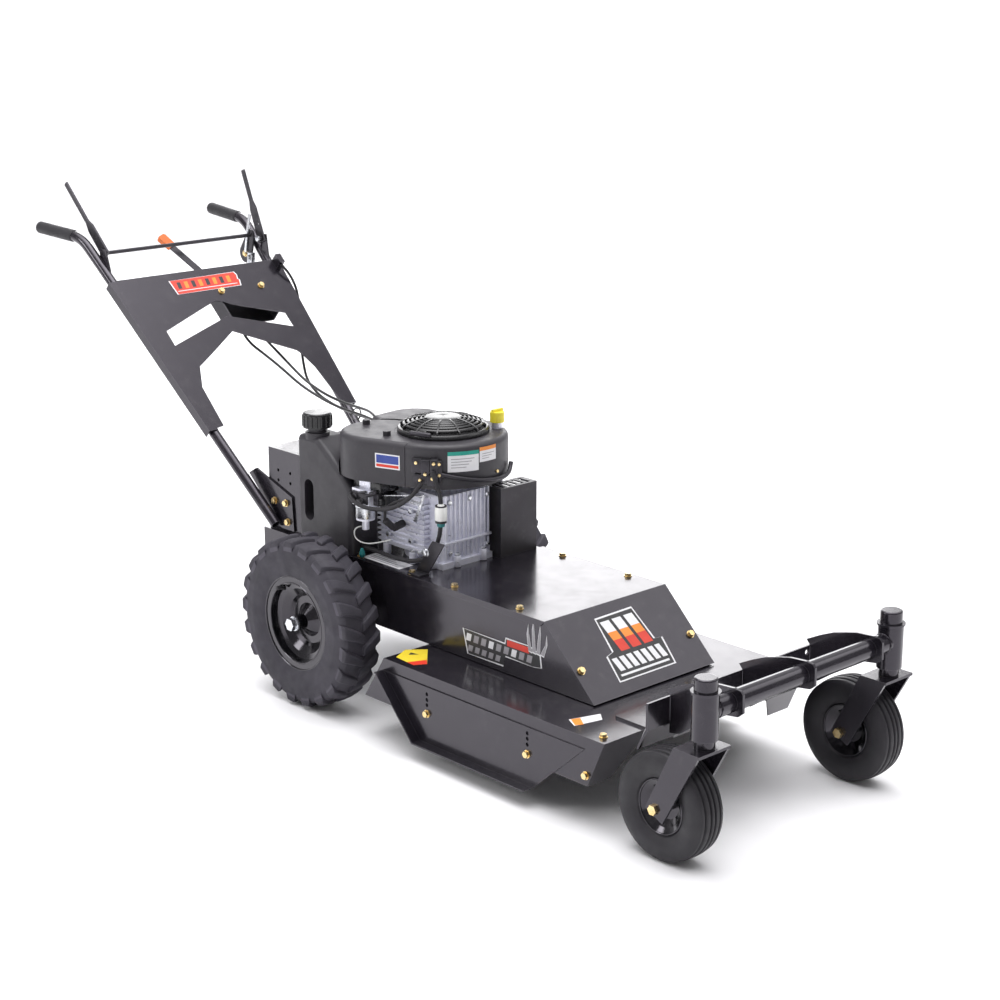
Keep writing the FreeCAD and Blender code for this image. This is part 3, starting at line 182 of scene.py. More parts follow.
def moulded_plastic(name, base, pale, rough=(0.42, 0.56), grain=900.0, depth=0.00018):
    """Moulded plastic with a fine spark-eroded grain and slight scuffing."""
    g = Graph(name)
    colour = g.blend(g.noise(7.0, 4.0), base, pale)
    scuff = g.span(g.noise(60.0, 8.0, 0.75, (1.0, 4.0, 1.0)), 0.0, 0.3, 0.58, 0.78)
    colour = g.blend(scuff, colour, tuple(min(1.0, c * 2.2 + 0.02) for c in pale))
    colour = g.blend(g.span(g.edge(0.0018), 0.0, 0.3), colour, tuple(min(1.0, c * 2 + 0.03) for c in pale))
    normal = g.bump(g.noise(grain, 3.0, 0.6), depth, 0.5)
    return g.finish(colour, g.span(g.noise(30.0), rough[0], rough[1], 0.3, 0.7), normal)


def zinc_plate(name, base, tint, shade, rough=(0.2, 0.38)):
    """Zinc plate with the passivation's drift of hue, fine scratches and darker corners."""
    g = Graph(name)
    colour = g.blend(g.span(g.noise(70.0, 4.0), 0.0, 1.0, 0.3, 0.7), base, tint)
    colour = g.blend(g.span(g.noise(240.0, 3.0), 0.0, 0.5, 0.5, 0.75), colour, shade)
    scratches = g.noise(500.0, 3.0, 0.6, (1.0, 14.0, 1.0))
    normal = g.bump(scratches, 0.00012, 0.4)
    return g.finish(colour, g.span(g.noise(120.0), rough[0], rough[1], 0.3, 0.7), normal, Metallic=1.0)


def cast_metal(name, base, shade, rough=(0.42, 0.62), metallic=0.85, grain=520.0):
    """Sand- or die-cast metal: grainy skin, darker hollows and brighter rubbed edges."""
    g = Graph(name)
    colour = g.blend(g.span(g.noise(18.0, 6.0, 0.65), 0.0, 1.0, 0.3, 0.75), base, shade)
    grime = g.span(g.noise(46.0, 7.0, 0.7), 0.0, 0.45, 0.55, 0.8)
    colour = g.blend(grime, colour, tuple(c * 0.35 for c in shade))
    colour = g.blend(g.span(g.edge(0.0016), 0.0, 0.6), colour, tuple(min(1.0, c * 1.25) for c in base))
    skin = g.bump(g.noise(grain, 5.0, 0.7), 0.0005, 0.5)
    return g.finish(colour, g.span(g.noise(60.0), rough[0], rough[1], 0.3, 0.7), skin, Metallic=metallic)


def rubber(name, base, dusty, rough=(0.62, 0.82), dust_amount=0.55, grain=700.0):
    """Moulded rubber with a fine grain, a bloom of dust and paler rubbed edges."""
    g = Graph(name)
    cloud = g.span(g.noise(9.0, 6.0, 0.62), 0.0, dust_amount, 0.35, 0.72)
    colour = g.blend(cloud, base, dusty)
    colour = g.blend(g.span(g.edge(0.003), 0.0, 0.45), colour, tuple(c * 1.5 for c in dusty))
    speck = g.span(g.noise(160.0, 5.0, 0.7), 0.0, 0.35, 0.6, 0.8)
    colour = g.blend(speck, colour, tuple(c * 1.3 for c in dusty))
    normal = g.bump(g.noise(grain, 4.0, 0.65), 0.0004, 0.5)
    return g.finish(colour, g.span(g.noise(40.0), rough[0], rough[1], 0.3, 0.7), normal,
                    Specular_IOR_Level=0.4)


def brushed(name, base, shade, rough=(0.22, 0.4)):
    """Ground or drawn steel with a directional grain."""
    g = Graph(name)
    grain = g.noise(300.0, 4.0, 0.6, (1.0, 12.0, 12.0))
    colour = g.blend(g.span(grain, 0.0, 0.7, 0.3, 0.7), base, shade)
    normal = g.bump(grain, 0.0001, 0.35)
    return g.finish(colour, g.span(g.noise(50.0), rough[0], rough[1], 0.3, 0.7), normal, Metallic=1.0)


def printed(name, base, shade, rough=0.34):
    """Ink on a vinyl label: nearly even, with a faint fibre and a slight unevenness of gloss."""
    g = Graph(name)
    colour = g.blend(g.span(g.noise(45.0, 5.0), 0.0, 1.0, 0.35, 0.7), base, shade)
    normal = g.bump(g.noise(650.0, 3.0), 0.00008, 0.3)
    return g.finish(colour, g.span(g.noise(80.0), rough, rough + 0.12, 0.3, 0.7), normal)


MATERIALS = {
    "black_frame": powder_coat("powder_coat_black", (0.007, 0.006, 0.008), (0.013, 0.0115, 0.016),
                               (0.17, 0.27), 0.3),
    "rim_black": powder_coat("rim_paint", (0.003, 0.003, 0.004), (0.005, 0.005, 0.006), (0.07, 0.13), 0.35),
    "black_satin": powder_coat("powder_coat_satin", (0.012, 0.012, 0.013), (0.02, 0.02, 0.022),
                               (0.34, 0.46), 0.1),
    "yellow_zinc": zinc_plate("yellow_zinc", (0.78, 0.56, 0.24), (0.86, 0.70, 0.38), (0.55, 0.42, 0.34)),
    "tyre_rubber": rubber("tyre_rubber", (0.030, 0.028, 0.036), (0.074, 0.068, 0.086)),
    "caster_rubber": rubber("caster_rubber", (0.014, 0.013, 0.016), (0.038, 0.034, 0.043), (0.42, 0.6),
                            0.4),
    "grip_rubber": rubber("grip_rubber", (0.020, 0.019, 0.022), (0.046, 0.043, 0.049), (0.5, 0.68), 0.3),
    "bright_zinc": zinc_plate("bright_zinc", (0.66, 0.68, 0.72), (0.78, 0.79, 0.80), (0.42, 0.44, 0.50)),
    "cast_alloy": cast_metal("cast_alloy", (0.88, 0.88, 0.96), (0.68, 0.69, 0.79), (0.26, 0.46), 0.45),
    "cast_iron": cast_metal("cast_iron", (0.16, 0.16, 0.17), (0.09, 0.09, 0.10), (0.5, 0.7), 0.7),
    "shroud_plastic": moulded_plastic("shroud_plastic", (0.024, 0.022, 0.027), (0.034, 0.031, 0.038)),
    "black_gloss_plastic": moulded_plastic("gloss_plastic", (0.008, 0.008, 0.009), (0.013, 0.013, 0.014),
                                           (0.2, 0.32), 500.0, 0.00008),
    "orange_plastic": moulded_plastic("orange_plastic", (0.62, 0.115, 0.008), (0.70, 0.15, 0.012),
                                      (0.34, 0.46)),
    "yellow_plastic": moulded_plastic("yellow_plastic", (0.80, 0.66, 0.03), (0.88, 0.76, 0.06),
                                      (0.34, 0.46)),
    "white_plastic": moulded_plastic("white_plastic", (0.74, 0.75, 0.72), (0.82, 0.82, 0.80), (0.3, 0.42)),
    "green_plastic": moulded_plastic("green_plastic", (0.01, 0.16, 0.17), (0.02, 0.22, 0.22), (0.34, 0.46)),
    "cable_sleeve": moulded_plastic("cable_sleeve", (0.012, 0.012, 0.013), (0.02, 0.02, 0.022),
                                    (0.3, 0.42)),
    "belt_rubber": rubber("belt_rubber", (0.014, 0.014, 0.015), (0.03, 0.03, 0.032)),
    "muffler_steel": powder_coat("muffler_paint", (0.014, 0.014, 0.014), (0.024, 0.023, 0.022),
                                 (0.4, 0.55), 0.05),
    "blade_steel": brushed("blade_steel", (0.30, 0.30, 0.31), (0.42, 0.42, 0.43), (0.3, 0.5)),
    "white_ink": printed("white_ink", (0.80, 0.80, 0.81), (0.74, 0.74, 0.76)),
    "grey_ink": printed("grey_ink", (0.33, 0.32, 0.34), (0.28, 0.27, 0.29)),
    "red_ink": printed("red_ink", (0.70, 0.045, 0.02), (0.62, 0.035, 0.018)),
    "orange_ink": printed("orange_ink", (0.85, 0.28, 0.03), (0.78, 0.24, 0.025)),
    "yellow_ink": printed("yellow_ink", (0.80, 0.62, 0.04), (0.74, 0.56, 0.03)),
    "teal_ink": printed("teal_ink", (0.01, 0.35, 0.27), (0.01, 0.30, 0.23)),
    "blue_ink": printed("blue_ink", (0.03, 0.06, 0.32), (0.02, 0.05, 0.27)),
    "dark_ink": printed("dark_ink", (0.02, 0.02, 0.022), (0.03, 0.03, 0.032)),
}


def smooth_by_angle(thing, degrees=32.0):
    """Smooth shading that keeps edges sharper than the angle."""
    mesh = thing.data
    mesh.shade_smooth()
    mesh.set_sharp_from_angle(angle=math.radians(degrees))


def dress_frame():
    """Give every CAD node its material and a fine bevel that catches the light."""
    slots = {entry["node"]: entry["material_slot"] for entry in frame["record"]["subparts"]}
    wide = {"fuel_tank": 0.009, "blower_housing": 0.007, "air_cleaner_cover": 0.007, "rear_console": 0.003,
            "shift_knob": 0.003, "carburettor": 0.002, "crankcase": 0.002, "fuel_cap": 0.0015}
    plain = {"blade_cable", "drive_cable", "throttle_cable", "fuel_line"}
    for name, node in nodes.items():
        node.data.materials.clear()
        node.data.materials.append(MATERIALS["rim_black" if "_rim_" in name else slots[name]])
        smooth_by_angle(node)
        if name in plain:
            continue
        bevel = node.modifiers.new("edge_round", "BEVEL")
        bevel.width = wide.get(name, 0.0006)
        bevel.segments = 4 if name in wide else 2
        bevel.limit_method = "ANGLE"
        bevel.angle_limit = math.radians(40)
        bevel.harden_normals = True


# ---------------------------------------------------------------- mesh helpers

def publish(name, mesh, material, body):
    """Link a finished mesh as a piece that rides on a body."""
    thing = bpy.data.objects.new(name, mesh)
    scene.collection.objects.link(thing)
    mesh.materials.append(MATERIALS[material])
    smooth_by_angle(thing)
    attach(thing, body)
    return thing


def piece(name, verts, faces, material, body, bevel=0.0, segments=2):
    """A piece from its points and faces, its normals made to point out."""
    build = bmesh.new()
    corners = [build.verts.new(vert) for vert in verts]
    for face in faces:
        build.faces.new([corners[index] for index in face])
    bmesh.ops.remove_doubles(build, verts=build.verts, dist=SAME_POINT)
    bmesh.ops.recalc_face_normals(build, faces=build.faces)
    if bevel > 0:
        sharp = [edge for edge in build.edges
                 if len(edge.link_faces) == 2 and edge.calc_face_angle() > SHARP_TURN]
        bmesh.ops.bevel(build, geom=sharp, offset=bevel, segments=segments, profile=0.5, affect="EDGES")
    mesh = bpy.data.meshes.new(name)
    build.to_mesh(mesh)
    build.free()
    return publish(name, mesh, material, body)


def merge(shapes):
    """One (verts, faces) from several."""
    verts = []
    faces = []
    for more_verts, more_faces in shapes:
        base = len(verts)
        verts.extend(more_verts)
        faces.extend([tuple(index + base for index in face) for face in more_faces])
    return verts, faces


def lathe_shape(origin, axis, profile, steps=64):
    """Turn a closed profile of (radius, along) in millimetres about an axis."""
    axis = axis.normalized()
    first = axis.orthogonal().normalized()
    second = axis.cross(first)
    verts = []
    count = len(profile)
    for step in range(steps):
        angle = 2 * math.pi * step / steps
        out = first * math.cos(angle) + second * math.sin(angle)
        verts.extend([origin + out * (radius / 1000) + axis * (along / 1000) for radius, along in profile])
    faces = []
    for step in range(steps):
        low = step * count
        high = ((step + 1) % steps) * count
        for index in range(count):
            after = (index + 1) % count
            faces.append((low + index, low + after, high + after, high + index))
    return verts, faces


def rod_shape(start, end, radius, steps=20):
    """A round bar between two points, radius in millimetres."""
    run = end - start
    length = run.length * 1000
    return lathe_shape(start, run, [(0.001, 0), (radius, 0), (radius, length), (0.001, length)], steps)


def box_shape(low, high):
    """A box between two corners in millimetres, in the row frame."""
    verts = [at(x, y, z) for x in (low[0], high[0]) for y in (low[1], high[1]) for z in (low[2], high[2])]
    faces = [(0, 1, 3, 2), (4, 6, 7, 5), (0, 4, 5, 1), (2, 3, 7, 6), (0, 2, 6, 4), (1, 5, 7, 3)]
    return verts, faces


def slab_shape(corners, push):
    """A flat outline of points, extruded by a vector."""
    count = len(corners)
    verts = list(corners) + [corner + push for corner in corners]
    faces = [tuple(range(count)), tuple(range(2 * count - 1, count - 1, -1))]
    for index in range(count):
        after = (index + 1) % count
        faces.append((index, after, after + count, index + count))
    return verts, faces


def hexagon_shape(centre, axis, radius, length):
    """A hexagonal head, in millimetres."""
    axis = axis.normalized()
    first = axis.orthogonal().normalized()
    second = axis.cross(first)
    corners = []
    for step in range(6):
        angle = math.radians(60 * step)
        corners.append(centre + (first * math.cos(angle) + second * math.sin(angle)) * (radius / 1000))
    return slab_shape(corners, axis * (length / 1000))


def hose(name, points, radius, material, body):
    """A smooth hose or wire through a run of points in millimetres."""
    curve = bpy.data.curves.new(name, "CURVE")
    curve.dimensions = "3D"
    spline = curve.splines.new("NURBS")
    spline.points.add(len(points) - 1)
    for point, place in zip(spline.points, points):
        point.co = at(*place).to_4d()
    spline.order_u = 3
    spline.use_endpoint_u = True
    curve.resolution_u = 8
    curve.bevel_depth = radius / 1000
    curve.bevel_resolution = 5
    curve.use_fill_caps = True
    thing = bpy.data.objects.new(name, curve)
    scene.collection.objects.link(thing)
    curve.materials.append(MATERIALS[material])
    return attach(thing, body)


# ---------------------------------------------------------------- wheels

def carcass_profile(half, tread, bead):
    """Rounded tyre section as (radius, offset along the axle) with rim protector ribs."""
    wall = tread - bead
    right = [(bead, half * 0.70), (bead + 4, half * 0.80), (bead + 7, half * 0.76),
             (bead + 10, half * 0.84),
             (bead + wall * 0.25, half * 0.93), (bead + wall * 0.42, half * 0.985), (bead + wall * 0.5,
                                                                                     half * 0.995),
             (bead + wall * 0.53, half), (bead + wall * 0.58, half), (bead + wall * 0.61, half * 0.985),
             (bead + wall * 0.76, half * 0.97), (bead + wall * 0.88, half * 0.91), (bead + wall * 0.95,
                                                                                    half * 0.80),
             (tread - 1.0, half * 0.45), (tread, 0)]
    left = [(radius, -offset) for radius, offset in reversed(right[:-1])]
    return right + left


def lug_shape(centre, start_angle, side, half, tread, crown):
    """One chevron lug: it leaves the middle of the tread and runs back over the shoulder."""
    verts = []
    steps = 9
    shoulder = 0.9
    for step in range(steps + 1):
        t = step / steps
        across = side * (-2.0 + (half + 1.0) * min(1.0, t * 1.12))
        sag = (abs(across) / half) ** 2
        base = tread - 9.5 * sag ** 1.4 - 3.0
        top = crown - 8.0 * sag ** 1.8
        if t > shoulder:
            base -= (t - shoulder) * 120
            top -= (t - shoulder) * 130
            across = side * (half - 1.5)
        lean = start_angle + 0.15 * t ** 0.9
        width = 10.0 + 5.0 * t
        for radius, extra in ((base, 1.3), (top, 0.82), (top, -0.82), (base, -1.3)):
            angle = lean + extra * width / tread
            verts.append(centre + Vector((math.cos(angle) * radius, across,
                                          math.sin(angle) * radius)) / 1000)
    faces = []
    for step in range(steps):
        for index in range(4):
            after = (index + 1) % 4
            low = step * 4
            faces.append((low + index, low + after, low + 4 + after, low + 4 + index))
    faces.append((0, 1, 2, 3))
    last = steps * 4
    faces.append((last + 3, last + 2, last + 1, last))
    return verts, faces


def ring_profile(radius, out, thick):
    """Section of a round bead at a radius and an offset along the axle."""
    steps = 10
    turns = [2 * math.pi * step / steps for step in range(steps)]
    return [(radius + thick * math.cos(turn), out + thick * math.sin(turn)) for turn in turns]


def rear_tyre(side_name):
    """Bar-lugged tyre on one rear wheel."""
    body = "rear_wheel_" + side_name
    low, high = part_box("rear_tyre_" + side_name)
    centre = (Vector(low) + Vector(high)) / 2
    half = (high[1] - low[1]) * HALF_MM
    crown = (high[2] - low[2]) * HALF_MM - LUG_MARGIN
    tread = crown - LUG_HEIGHT
    profile = carcass_profile(half, tread, REAR_BEAD)
    shapes = [lathe_shape(centre, Vector((0, 1, 0)), profile, 120)]
    for index in range(LUG_COUNT):
        for side in (-1, 1):
            angle = 2 * math.pi * (index + (0.5 if side > 0 else 0.0)) / LUG_COUNT
            shapes.append(lug_shape(centre, angle, side, half, tread, crown))
    verts, faces = merge(shapes)
    tyre = piece("rear_tyre_tread_" + side_name, verts, faces, "tyre_rubber", body, 0.0022, 3)
    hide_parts("rear_tyre_" + side_name)
    beads = [lathe_shape(centre, Vector((0, SIDES[side_name], 0)), ring_profile(radius, out, 2.2), 96)
             for radius, out in ((111.5, 42.5), (95.5, 41.0))]
    piece("rim_beads_" + side_name, *merge(beads), "rim_black", body)
    valve_turn = 2.2
    valve_out = Vector((0.0, SIDES[side_name] * 0.030, 0.0))
    valve_at = centre + valve_out + Vector((math.cos(valve_turn), 0, math.sin(valve_turn))) * 0.086
    stem_run = Vector((-0.004, SIDES[side_name] * 0.016, 0.004))
    stem = rod_shape(valve_at, valve_at + stem_run, 4.0)
    cap = rod_shape(valve_at + stem_run * 0.8, valve_at + stem_run * 1.35, 5.0)
    piece("valve_" + side_name, *merge([stem, cap]), "grip_rubber", body, 0.0008)


def caster_tyre(side_name):
    """Ribbed solid tyre on one caster."""
    body = "caster_wheel_" + side_name
    low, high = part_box("caster_tyre_" + side_name)
    centre = (Vector(low) + Vector(high)) / 2
    half = (high[1] - low[1]) * HALF_MM
    crown = (high[2] - low[2]) * HALF_MM
    bead = 58.0
    right = [(bead, half * 0.7), (bead + 3, half * 0.82), (bead + 8, half * 0.86), (bead + 12, half * 0.93),
             (bead + 26, half), (bead + 34, half), (bead + 42, half * 0.96), (crown - 7, half * 0.88),
             (crown - 3, half * 0.80), (crown - 2, half * 0.64), (crown - 6, half * 0.60),
             (crown - 6, half * 0.52),
             (crown - 1, half * 0.48), (crown - 0.2, half * 0.24), (crown - 5.5, half * 0.2),
             (crown - 5.5, half * 0.12),
             (crown, half * 0.08)]
    left = [(radius, -offset) for radius, offset in reversed(right)]
    verts, faces = lathe_shape(centre, Vector((0, 1, 0)), right + left, 96)
    beads = [lathe_shape(centre, Vector((0, sign, 0)), ring_profile(56.0, half * 0.72, 2.0),
                         72) for sign in (-1, 1)]
    piece("caster_rim_beads_" + side_name, *merge(beads), "rim_black", body)
    tyre = piece("caster_tyre_tread_" + side_name, verts, faces, "caster_rubber", body, 0.0008, 2)
    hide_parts("caster_tyre_" + side_name)


# ---------------------------------------------------------------- engine

def dome_height(radius):
    """Height of the starter cover's crown over its foot at a radius, in millimetres."""
    return DOME_RISE * math.sqrt(max(0.0, 1.0 - (radius / DOME_REACH) ** DOME_ROUNDNESS))


def starter_cover():
    """Louvred dome: ring slats between spokes, a plain cap, and the pull handle in its seat."""
    foot = at(ENGINE[0], ENGINE[1], DOME_FOOT)
    up = Vector((0, 0, 1))
    shapes = [lathe_shape(foot, up, [(107, 0), (107, 7), (104, 11), (99, 12.5), (96, 9), (98, 0)], 96)]
    for radius in (91, 81, 71, 61, 51):
        top = dome_height(radius)
        shapes.append(lathe_shape(foot, up, [(radius + 3.0, top - 2.6), (radius - 1.6, top + 0.2),
                                             (radius - 2.8, top - 0.8), (radius - 0.4, top - 8.5),
                                             (radius + 2.2, top - 8.5)], 96))
    cap_top = dome_height(20)
    shapes.append(lathe_shape(foot, up, [(0.01, cap_top), (34, cap_top - 0.6), (43, dome_height(45) - 0.5),
                                         (45, dome_height(45) - 3), (42, dome_height(45) - 7),
                                         (0.01, cap_top - 9)], 96))
    cover = piece("starter_louvres", *merge(shapes), "black_gloss_plastic", "chassis", 0.0006, 2)
    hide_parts("recoil_cover")
    spokes = []
    for index in range(12):
        angle = 2 * math.pi * (index + 0.35) / 12
        out = Vector((math.cos(angle), math.sin(angle), 0))
        across = Vector((-out.y, out.x, 0)) * 0.0022
        rows = []
        for radius in (40, 50, 60, 70, 80, 90, 100):
            top = foot + out * (radius / 1000) + up * ((dome_height(radius) + 0.3) / 1000)
            rows.append((top - across, top + across, top + across - up * 0.009, top - across - up * 0.009))
        verts = [vert for row in rows for vert in row]
        faces = [(0, 1, 2, 3), (24, 27, 26, 25)]
        for row in range(6):
            for side in range(4):
                after = (side + 1) % 4
                faces.append((row * 4 + side, row * 4 + after, row * 4 + 4 + after, row * 4 + 4 + side))
        spokes.append((verts, faces))
    piece("starter_spokes", *merge(spokes), "black_gloss_plastic", "chassis", 0.0005)
    screen = lathe_shape(foot, up, [(0.01, 2), (95, 2), (95, 4), (60, 13), (0.01, 15)], 96)
    piece("fan_screen", *screen, "belt_rubber", "chassis")
    starter_handle(foot)


def starter_handle(foot):
    """Pull handle resting in its seat on the near side of the dome."""
    out = Vector((0.30, -0.954, 0))
    side = Vector((0.954, 0.30, 0))
    up = Vector((0, 0, 1))
    seat = foot + out * 0.088

    def corner(across, reach, height):
        return seat + side * (across / 1000) + out * (reach / 1000) + up * (height / 1000)

    base = [corner(-17, -24, 2), corner(17, -24, 2), corner(15, 12, 2), corner(-15, 12, 2)]
    top = [corner(-15, -30, 27), corner(15, -30, 27), corner(12, 8, 19), corner(-12, 8, 19)]
    faces = [(0, 1, 2, 3), (7, 6, 5, 4), (0, 4, 5, 1), (1, 5, 6, 2), (2, 6, 7, 3), (3, 7, 4, 0)]
    piece("handle_seat", base + top, faces, "black_gloss_plastic", "chassis", 0.003, 3)
    grip = [corner(-30, 10, 6), corner(30, 10, 6), corner(30, 20, 7), corner(-30, 20, 7)]
    crest = [corner(-28, 9, 18), corner(28, 9, 18), corner(28, 18, 17), corner(-28, 18, 17)]
    bar = piece("pull_handle", grip + crest, faces, "black_satin", "chassis", 0.0038, 4)


def crankcase_ribs():
    """Cast ribs, bosses and feet on the crankcase and the cylinder."""
    shapes = []
    for index in range(15):
        angle = math.radians(-78 + 9.5 * index)
        out = Vector((math.cos(angle), math.sin(angle), 0))
        across = Vector((-out.y, out.x, 0)) * 0.0019
        inner = at(ENGINE[0], 0, 0) + out * 0.082
        outer = inner + out * 0.0095
        low = Vector((0, 0, 0.372))
        high = Vector((0, 0, 0.530))
        shapes.append(slab_shape([inner - across + low, inner + across + low, outer + across * 0.6 + low,
                                  outer - across * 0.6 + low], high - low))
    for across in range(-92, 46, 13):
        shapes.append(box_shape((261, across, 366), (267, across + 3.6, 518)))
    shapes.append(box_shape((258, -97, 402), (270, 46, 408)))
    for x, y in ((240, -104), (268, -60), (268, 20), (180, -116), (80, -110), (250, 46)):
        shapes.append(rod_shape(at(x, y, 346), at(x, y, 372), 9.5))
    return piece("crankcase_ribs", *merge(shapes), "cast_alloy", "chassis", 0.0009, 2)


def engine_hardware():
    """Bolts, plug boot and lead, governor arm, rod and spring on the near side of the engine."""
    shapes = []
    down = Vector((0, -1, 0))
    for x, z in ((98, 470), (98, 400), (178, 470), (178, 400), (138, 488)):
        shapes.append(hexagon_shape(at(x, -118, z), down, 7.0, 6.0))
    for x, y in ((240, -104), (268, -60), (268, 20), (180, -116), (80, -110)):
        shapes.append(hexagon_shape(at(x, y, 372), Vector((0, 0, 1)), 7.5, 6.0))
    for across, height in ((-80, 500), (-20, 500), (34, 500), (-80, 380), (34, 380)):
        shapes.append(hexagon_shape(at(262, across, height), Vector((1, 0, 0)), 6.5, 7.0))
    piece("engine_bolts", *merge(shapes), "bright_zinc", "chassis", 0.0006)
    plug = merge([rod_shape(at(150, -118, 436), at(150, -150, 430), 9),
                  rod_shape(at(150, -148, 430), at(146, -170, 452), 8)])
    piece("plug_boot", *plug, "grip_rubber", "chassis", 0.002, 3)
    hose("plug_lead", [(146, -169, 451), (150, -178, 476), (176, -172, 500), (206, -152, 512),
                       (222, -136, 530)], 3.4,
         "grip_rubber", "chassis")
    arm = [at(196, -126, 452), at(206, -126, 450), at(238, -128, 520), at(232, -128, 524)]
    arm_shape = slab_shape(arm, Vector((0, -0.0025, 0)))
    piece("governor_arm", *arm_shape, "bright_zinc", "chassis", 0.0005)
    hose("governor_rod", [(234, -130, 518), (200, -146, 516), (150, -156, 508), (106, -160, 500)], 1.3,
         "bright_zinc", "chassis")
    coil = []
    for step in range(97):
        turn = step * math.pi / 4
        coil.append((228 - step * 0.62, -136 + 4.2 * math.cos(turn), 500 + 4.2 * math.sin(turn)))
    hose("governor_spring", coil, 0.7, "bright_zinc", "chassis")


# ---------------------------------------------------------------- labels, all plain shapes

NOSE_TOP = at(684.2, 0, 348)
NOSE_RUN = Vector((0.7166, 0, -0.6975))
NOSE_OUT = Vector((0.6975, 0, 0.7166))
WALL_Y = -185.0


def nose_point(down, across, lift=0.0):
    """A point on the belt cover's sloping nose, in millimetres down the slope and across."""
    return NOSE_TOP + NOSE_RUN * (down / 1000) + Vector((0, across / 1000, 0)) + NOSE_OUT * (lift / 1000)


def wall_point(x, z, lift=0.0):
    """A point on the frame's right-hand wall."""
    return at(x, WALL_Y - lift, z)


def deck_point(x, y, lift=0.0):
    """A point on top of the deck."""
    return at(x, y, DECK_TOP + lift)


def frame_point(x, y, lift=0.0):
    """A point on top of the frame's engine deck."""
    return at(x, y, FRAME_TOP + lift)


def sticker(name, place, outline, layer, material):
    """A thin printed shape on a flat face; a higher layer lies over a lower one."""
    low = [place(u, v, 0.15 + 0.12 * layer) for u, v in outline]
    high = [place(u, v, 0.27 + 0.12 * layer) for u, v in outline]
    verts, faces = slab_shape(low, Vector((0, 0, 0)))
    count = len(low)
    verts[count:] = high
    return piece(name, verts, faces, material, "chassis")


def inset(outline, gap):
    """The same outline moved in towards its middle by about gap."""
    centre = Vector((sum(u for u, _ in outline), sum(v for _, v in outline))) / len(outline)
    moved = []
    for u, v in outline:
        run = Vector((u, v)) - centre
        moved.append(tuple(centre + run * max(0.1, 1 - gap / max(run.length, 1e-6))))
    return moved


def nose_graphic():
    """Front graphic: a bordered block of slanted bars that fade from white to red."""
    block = [(28, -58), (26, 58), (112, 70), (114, 92), (181, 86), (181, -90), (118, -86), (112, -64)]
    sticker("nose_border", nose_point, block, 0, "white_ink")
    sticker("nose_ground", nose_point, inset(block, 5), 1, "dark_ink")
    for index, across in enumerate((-50, -14, 22)):
        right = across + 27
        for part, (start, end, ink) in enumerate(((40, 68, "white_ink"), (68, 88, "orange_ink"),
                                                  (88, 116, "red_ink"))):
            lean = (start - 40) * 0.16
            lean_end = (end - 40) * 0.16
            bar = [(start, across + lean), (start, right + lean), (end, right + lean_end),
                   (end, across + lean_end)]
            sticker("nose_bar_%d_%d" % (index, part), nose_point, bar, 2, ink)
    for index in range(7):
        across = -76 + 22 * index
        stripe = [(126, across), (126, across + 15), (158, across + 21), (158, across + 6)]
        sticker("nose_stripe_%d" % index, nose_point, stripe, 2, "white_ink")
    sticker("nose_rule", nose_point, [(165, -76), (165, 74), (170, 74), (170, -76)], 2, "white_ink")


def wall_graphic():
    """Side graphic: a bordered banner with bars, and four upright curved blades at its front end."""
    banner = [(425, 268), (560, 268), (563, 281), (640, 281), (672, 270), (676, 240), (652, 236),
              (560, 236),
              (556, 212), (440, 212)]
    sticker("wall_border", wall_point, banner, 0, "white_ink")
    sticker("wall_ground", wall_point, inset(banner, 4), 1, "dark_ink")
    sticker("wall_red", wall_point, [(568, 277), (636, 277), (636, 263), (568, 263)], 2, "red_ink")
    for index in range(9):
        x = 440 + 24 * index
        bar = [(x, 260), (x + 15, 260), (x + 11, 243), (x - 4, 243)]
        sticker("wall_bar_%d" % index, wall_point, bar, 3, "grey_ink" if index % 3 else "white_ink")
    for index in range(5):
        x = 446 + 22 * index
        sticker("wall_low_bar_%d" % index, wall_point, [(x, 234), (x + 14, 234), (x + 10, 220),
                                                        (x - 4, 220)], 3,
                "grey_ink")
    for index, (foot, tip, height) in enumerate(((640, 634, 330), (652, 650, 344), (664, 670, 336),
                                                 (676, 690, 318))):
        blade = [(foot - 6, 268), (foot + 6, 266), (tip + 2, height - 22), (tip, height),
                 (tip - 5, height - 24)]
        sticker("wall_blade_edge_%d" % index, wall_point, blade, 2, "white_ink")
        sticker("wall_blade_%d" % index, wall_point, inset(blade, 3), 3, "grey_ink")


def small_labels():
    """Plain coloured labels on the deck and the frame."""
    arrow = [(322, -291), (300, -246), (332, -207), (403, -271), (387, -297)]
    sticker("deck_label", deck_point, arrow, 0, "yellow_ink")
    sticker("deck_label_block", deck_point, [(403, -271), (387, -297), (364, -295), (382, -253)], 1,
            "red_ink")
    sticker("deck_label_mark", deck_point, [(330, -262), (322, -248), (344, -244)], 1, "dark_ink")
    strip = [(846, -274), (868, -204), (893, -224), (878, -290)]
    sticker("deck_strip", deck_point, strip, 0, "white_ink")
    sticker("deck_strip_end", deck_point, [(848, -270), (855, -250), (885, -270), (877, -287)], 1,
            "orange_ink")
    plate = [(60, -170), (60, -126), (193, -126), (193, -170)]
    sticker("frame_plate", frame_point, plate, 0, "white_ink")
    for index in range(4):
        row = -162 + 9 * index
        line = [(68, row), (68, row + 3), (180 - 14 * index, row + 3), (180 - 14 * index, row)]
        sticker("frame_plate_row_%d" % index, frame_point, line, 1, "grey_ink")


PANEL_TOP = at(-930, 0, 977)
PANEL_RUN = Vector((0.7451, 0, -0.6670))
PANEL_OUT = Vector((0.6670, 0, 0.7451))
PANEL_FACE = 16.3


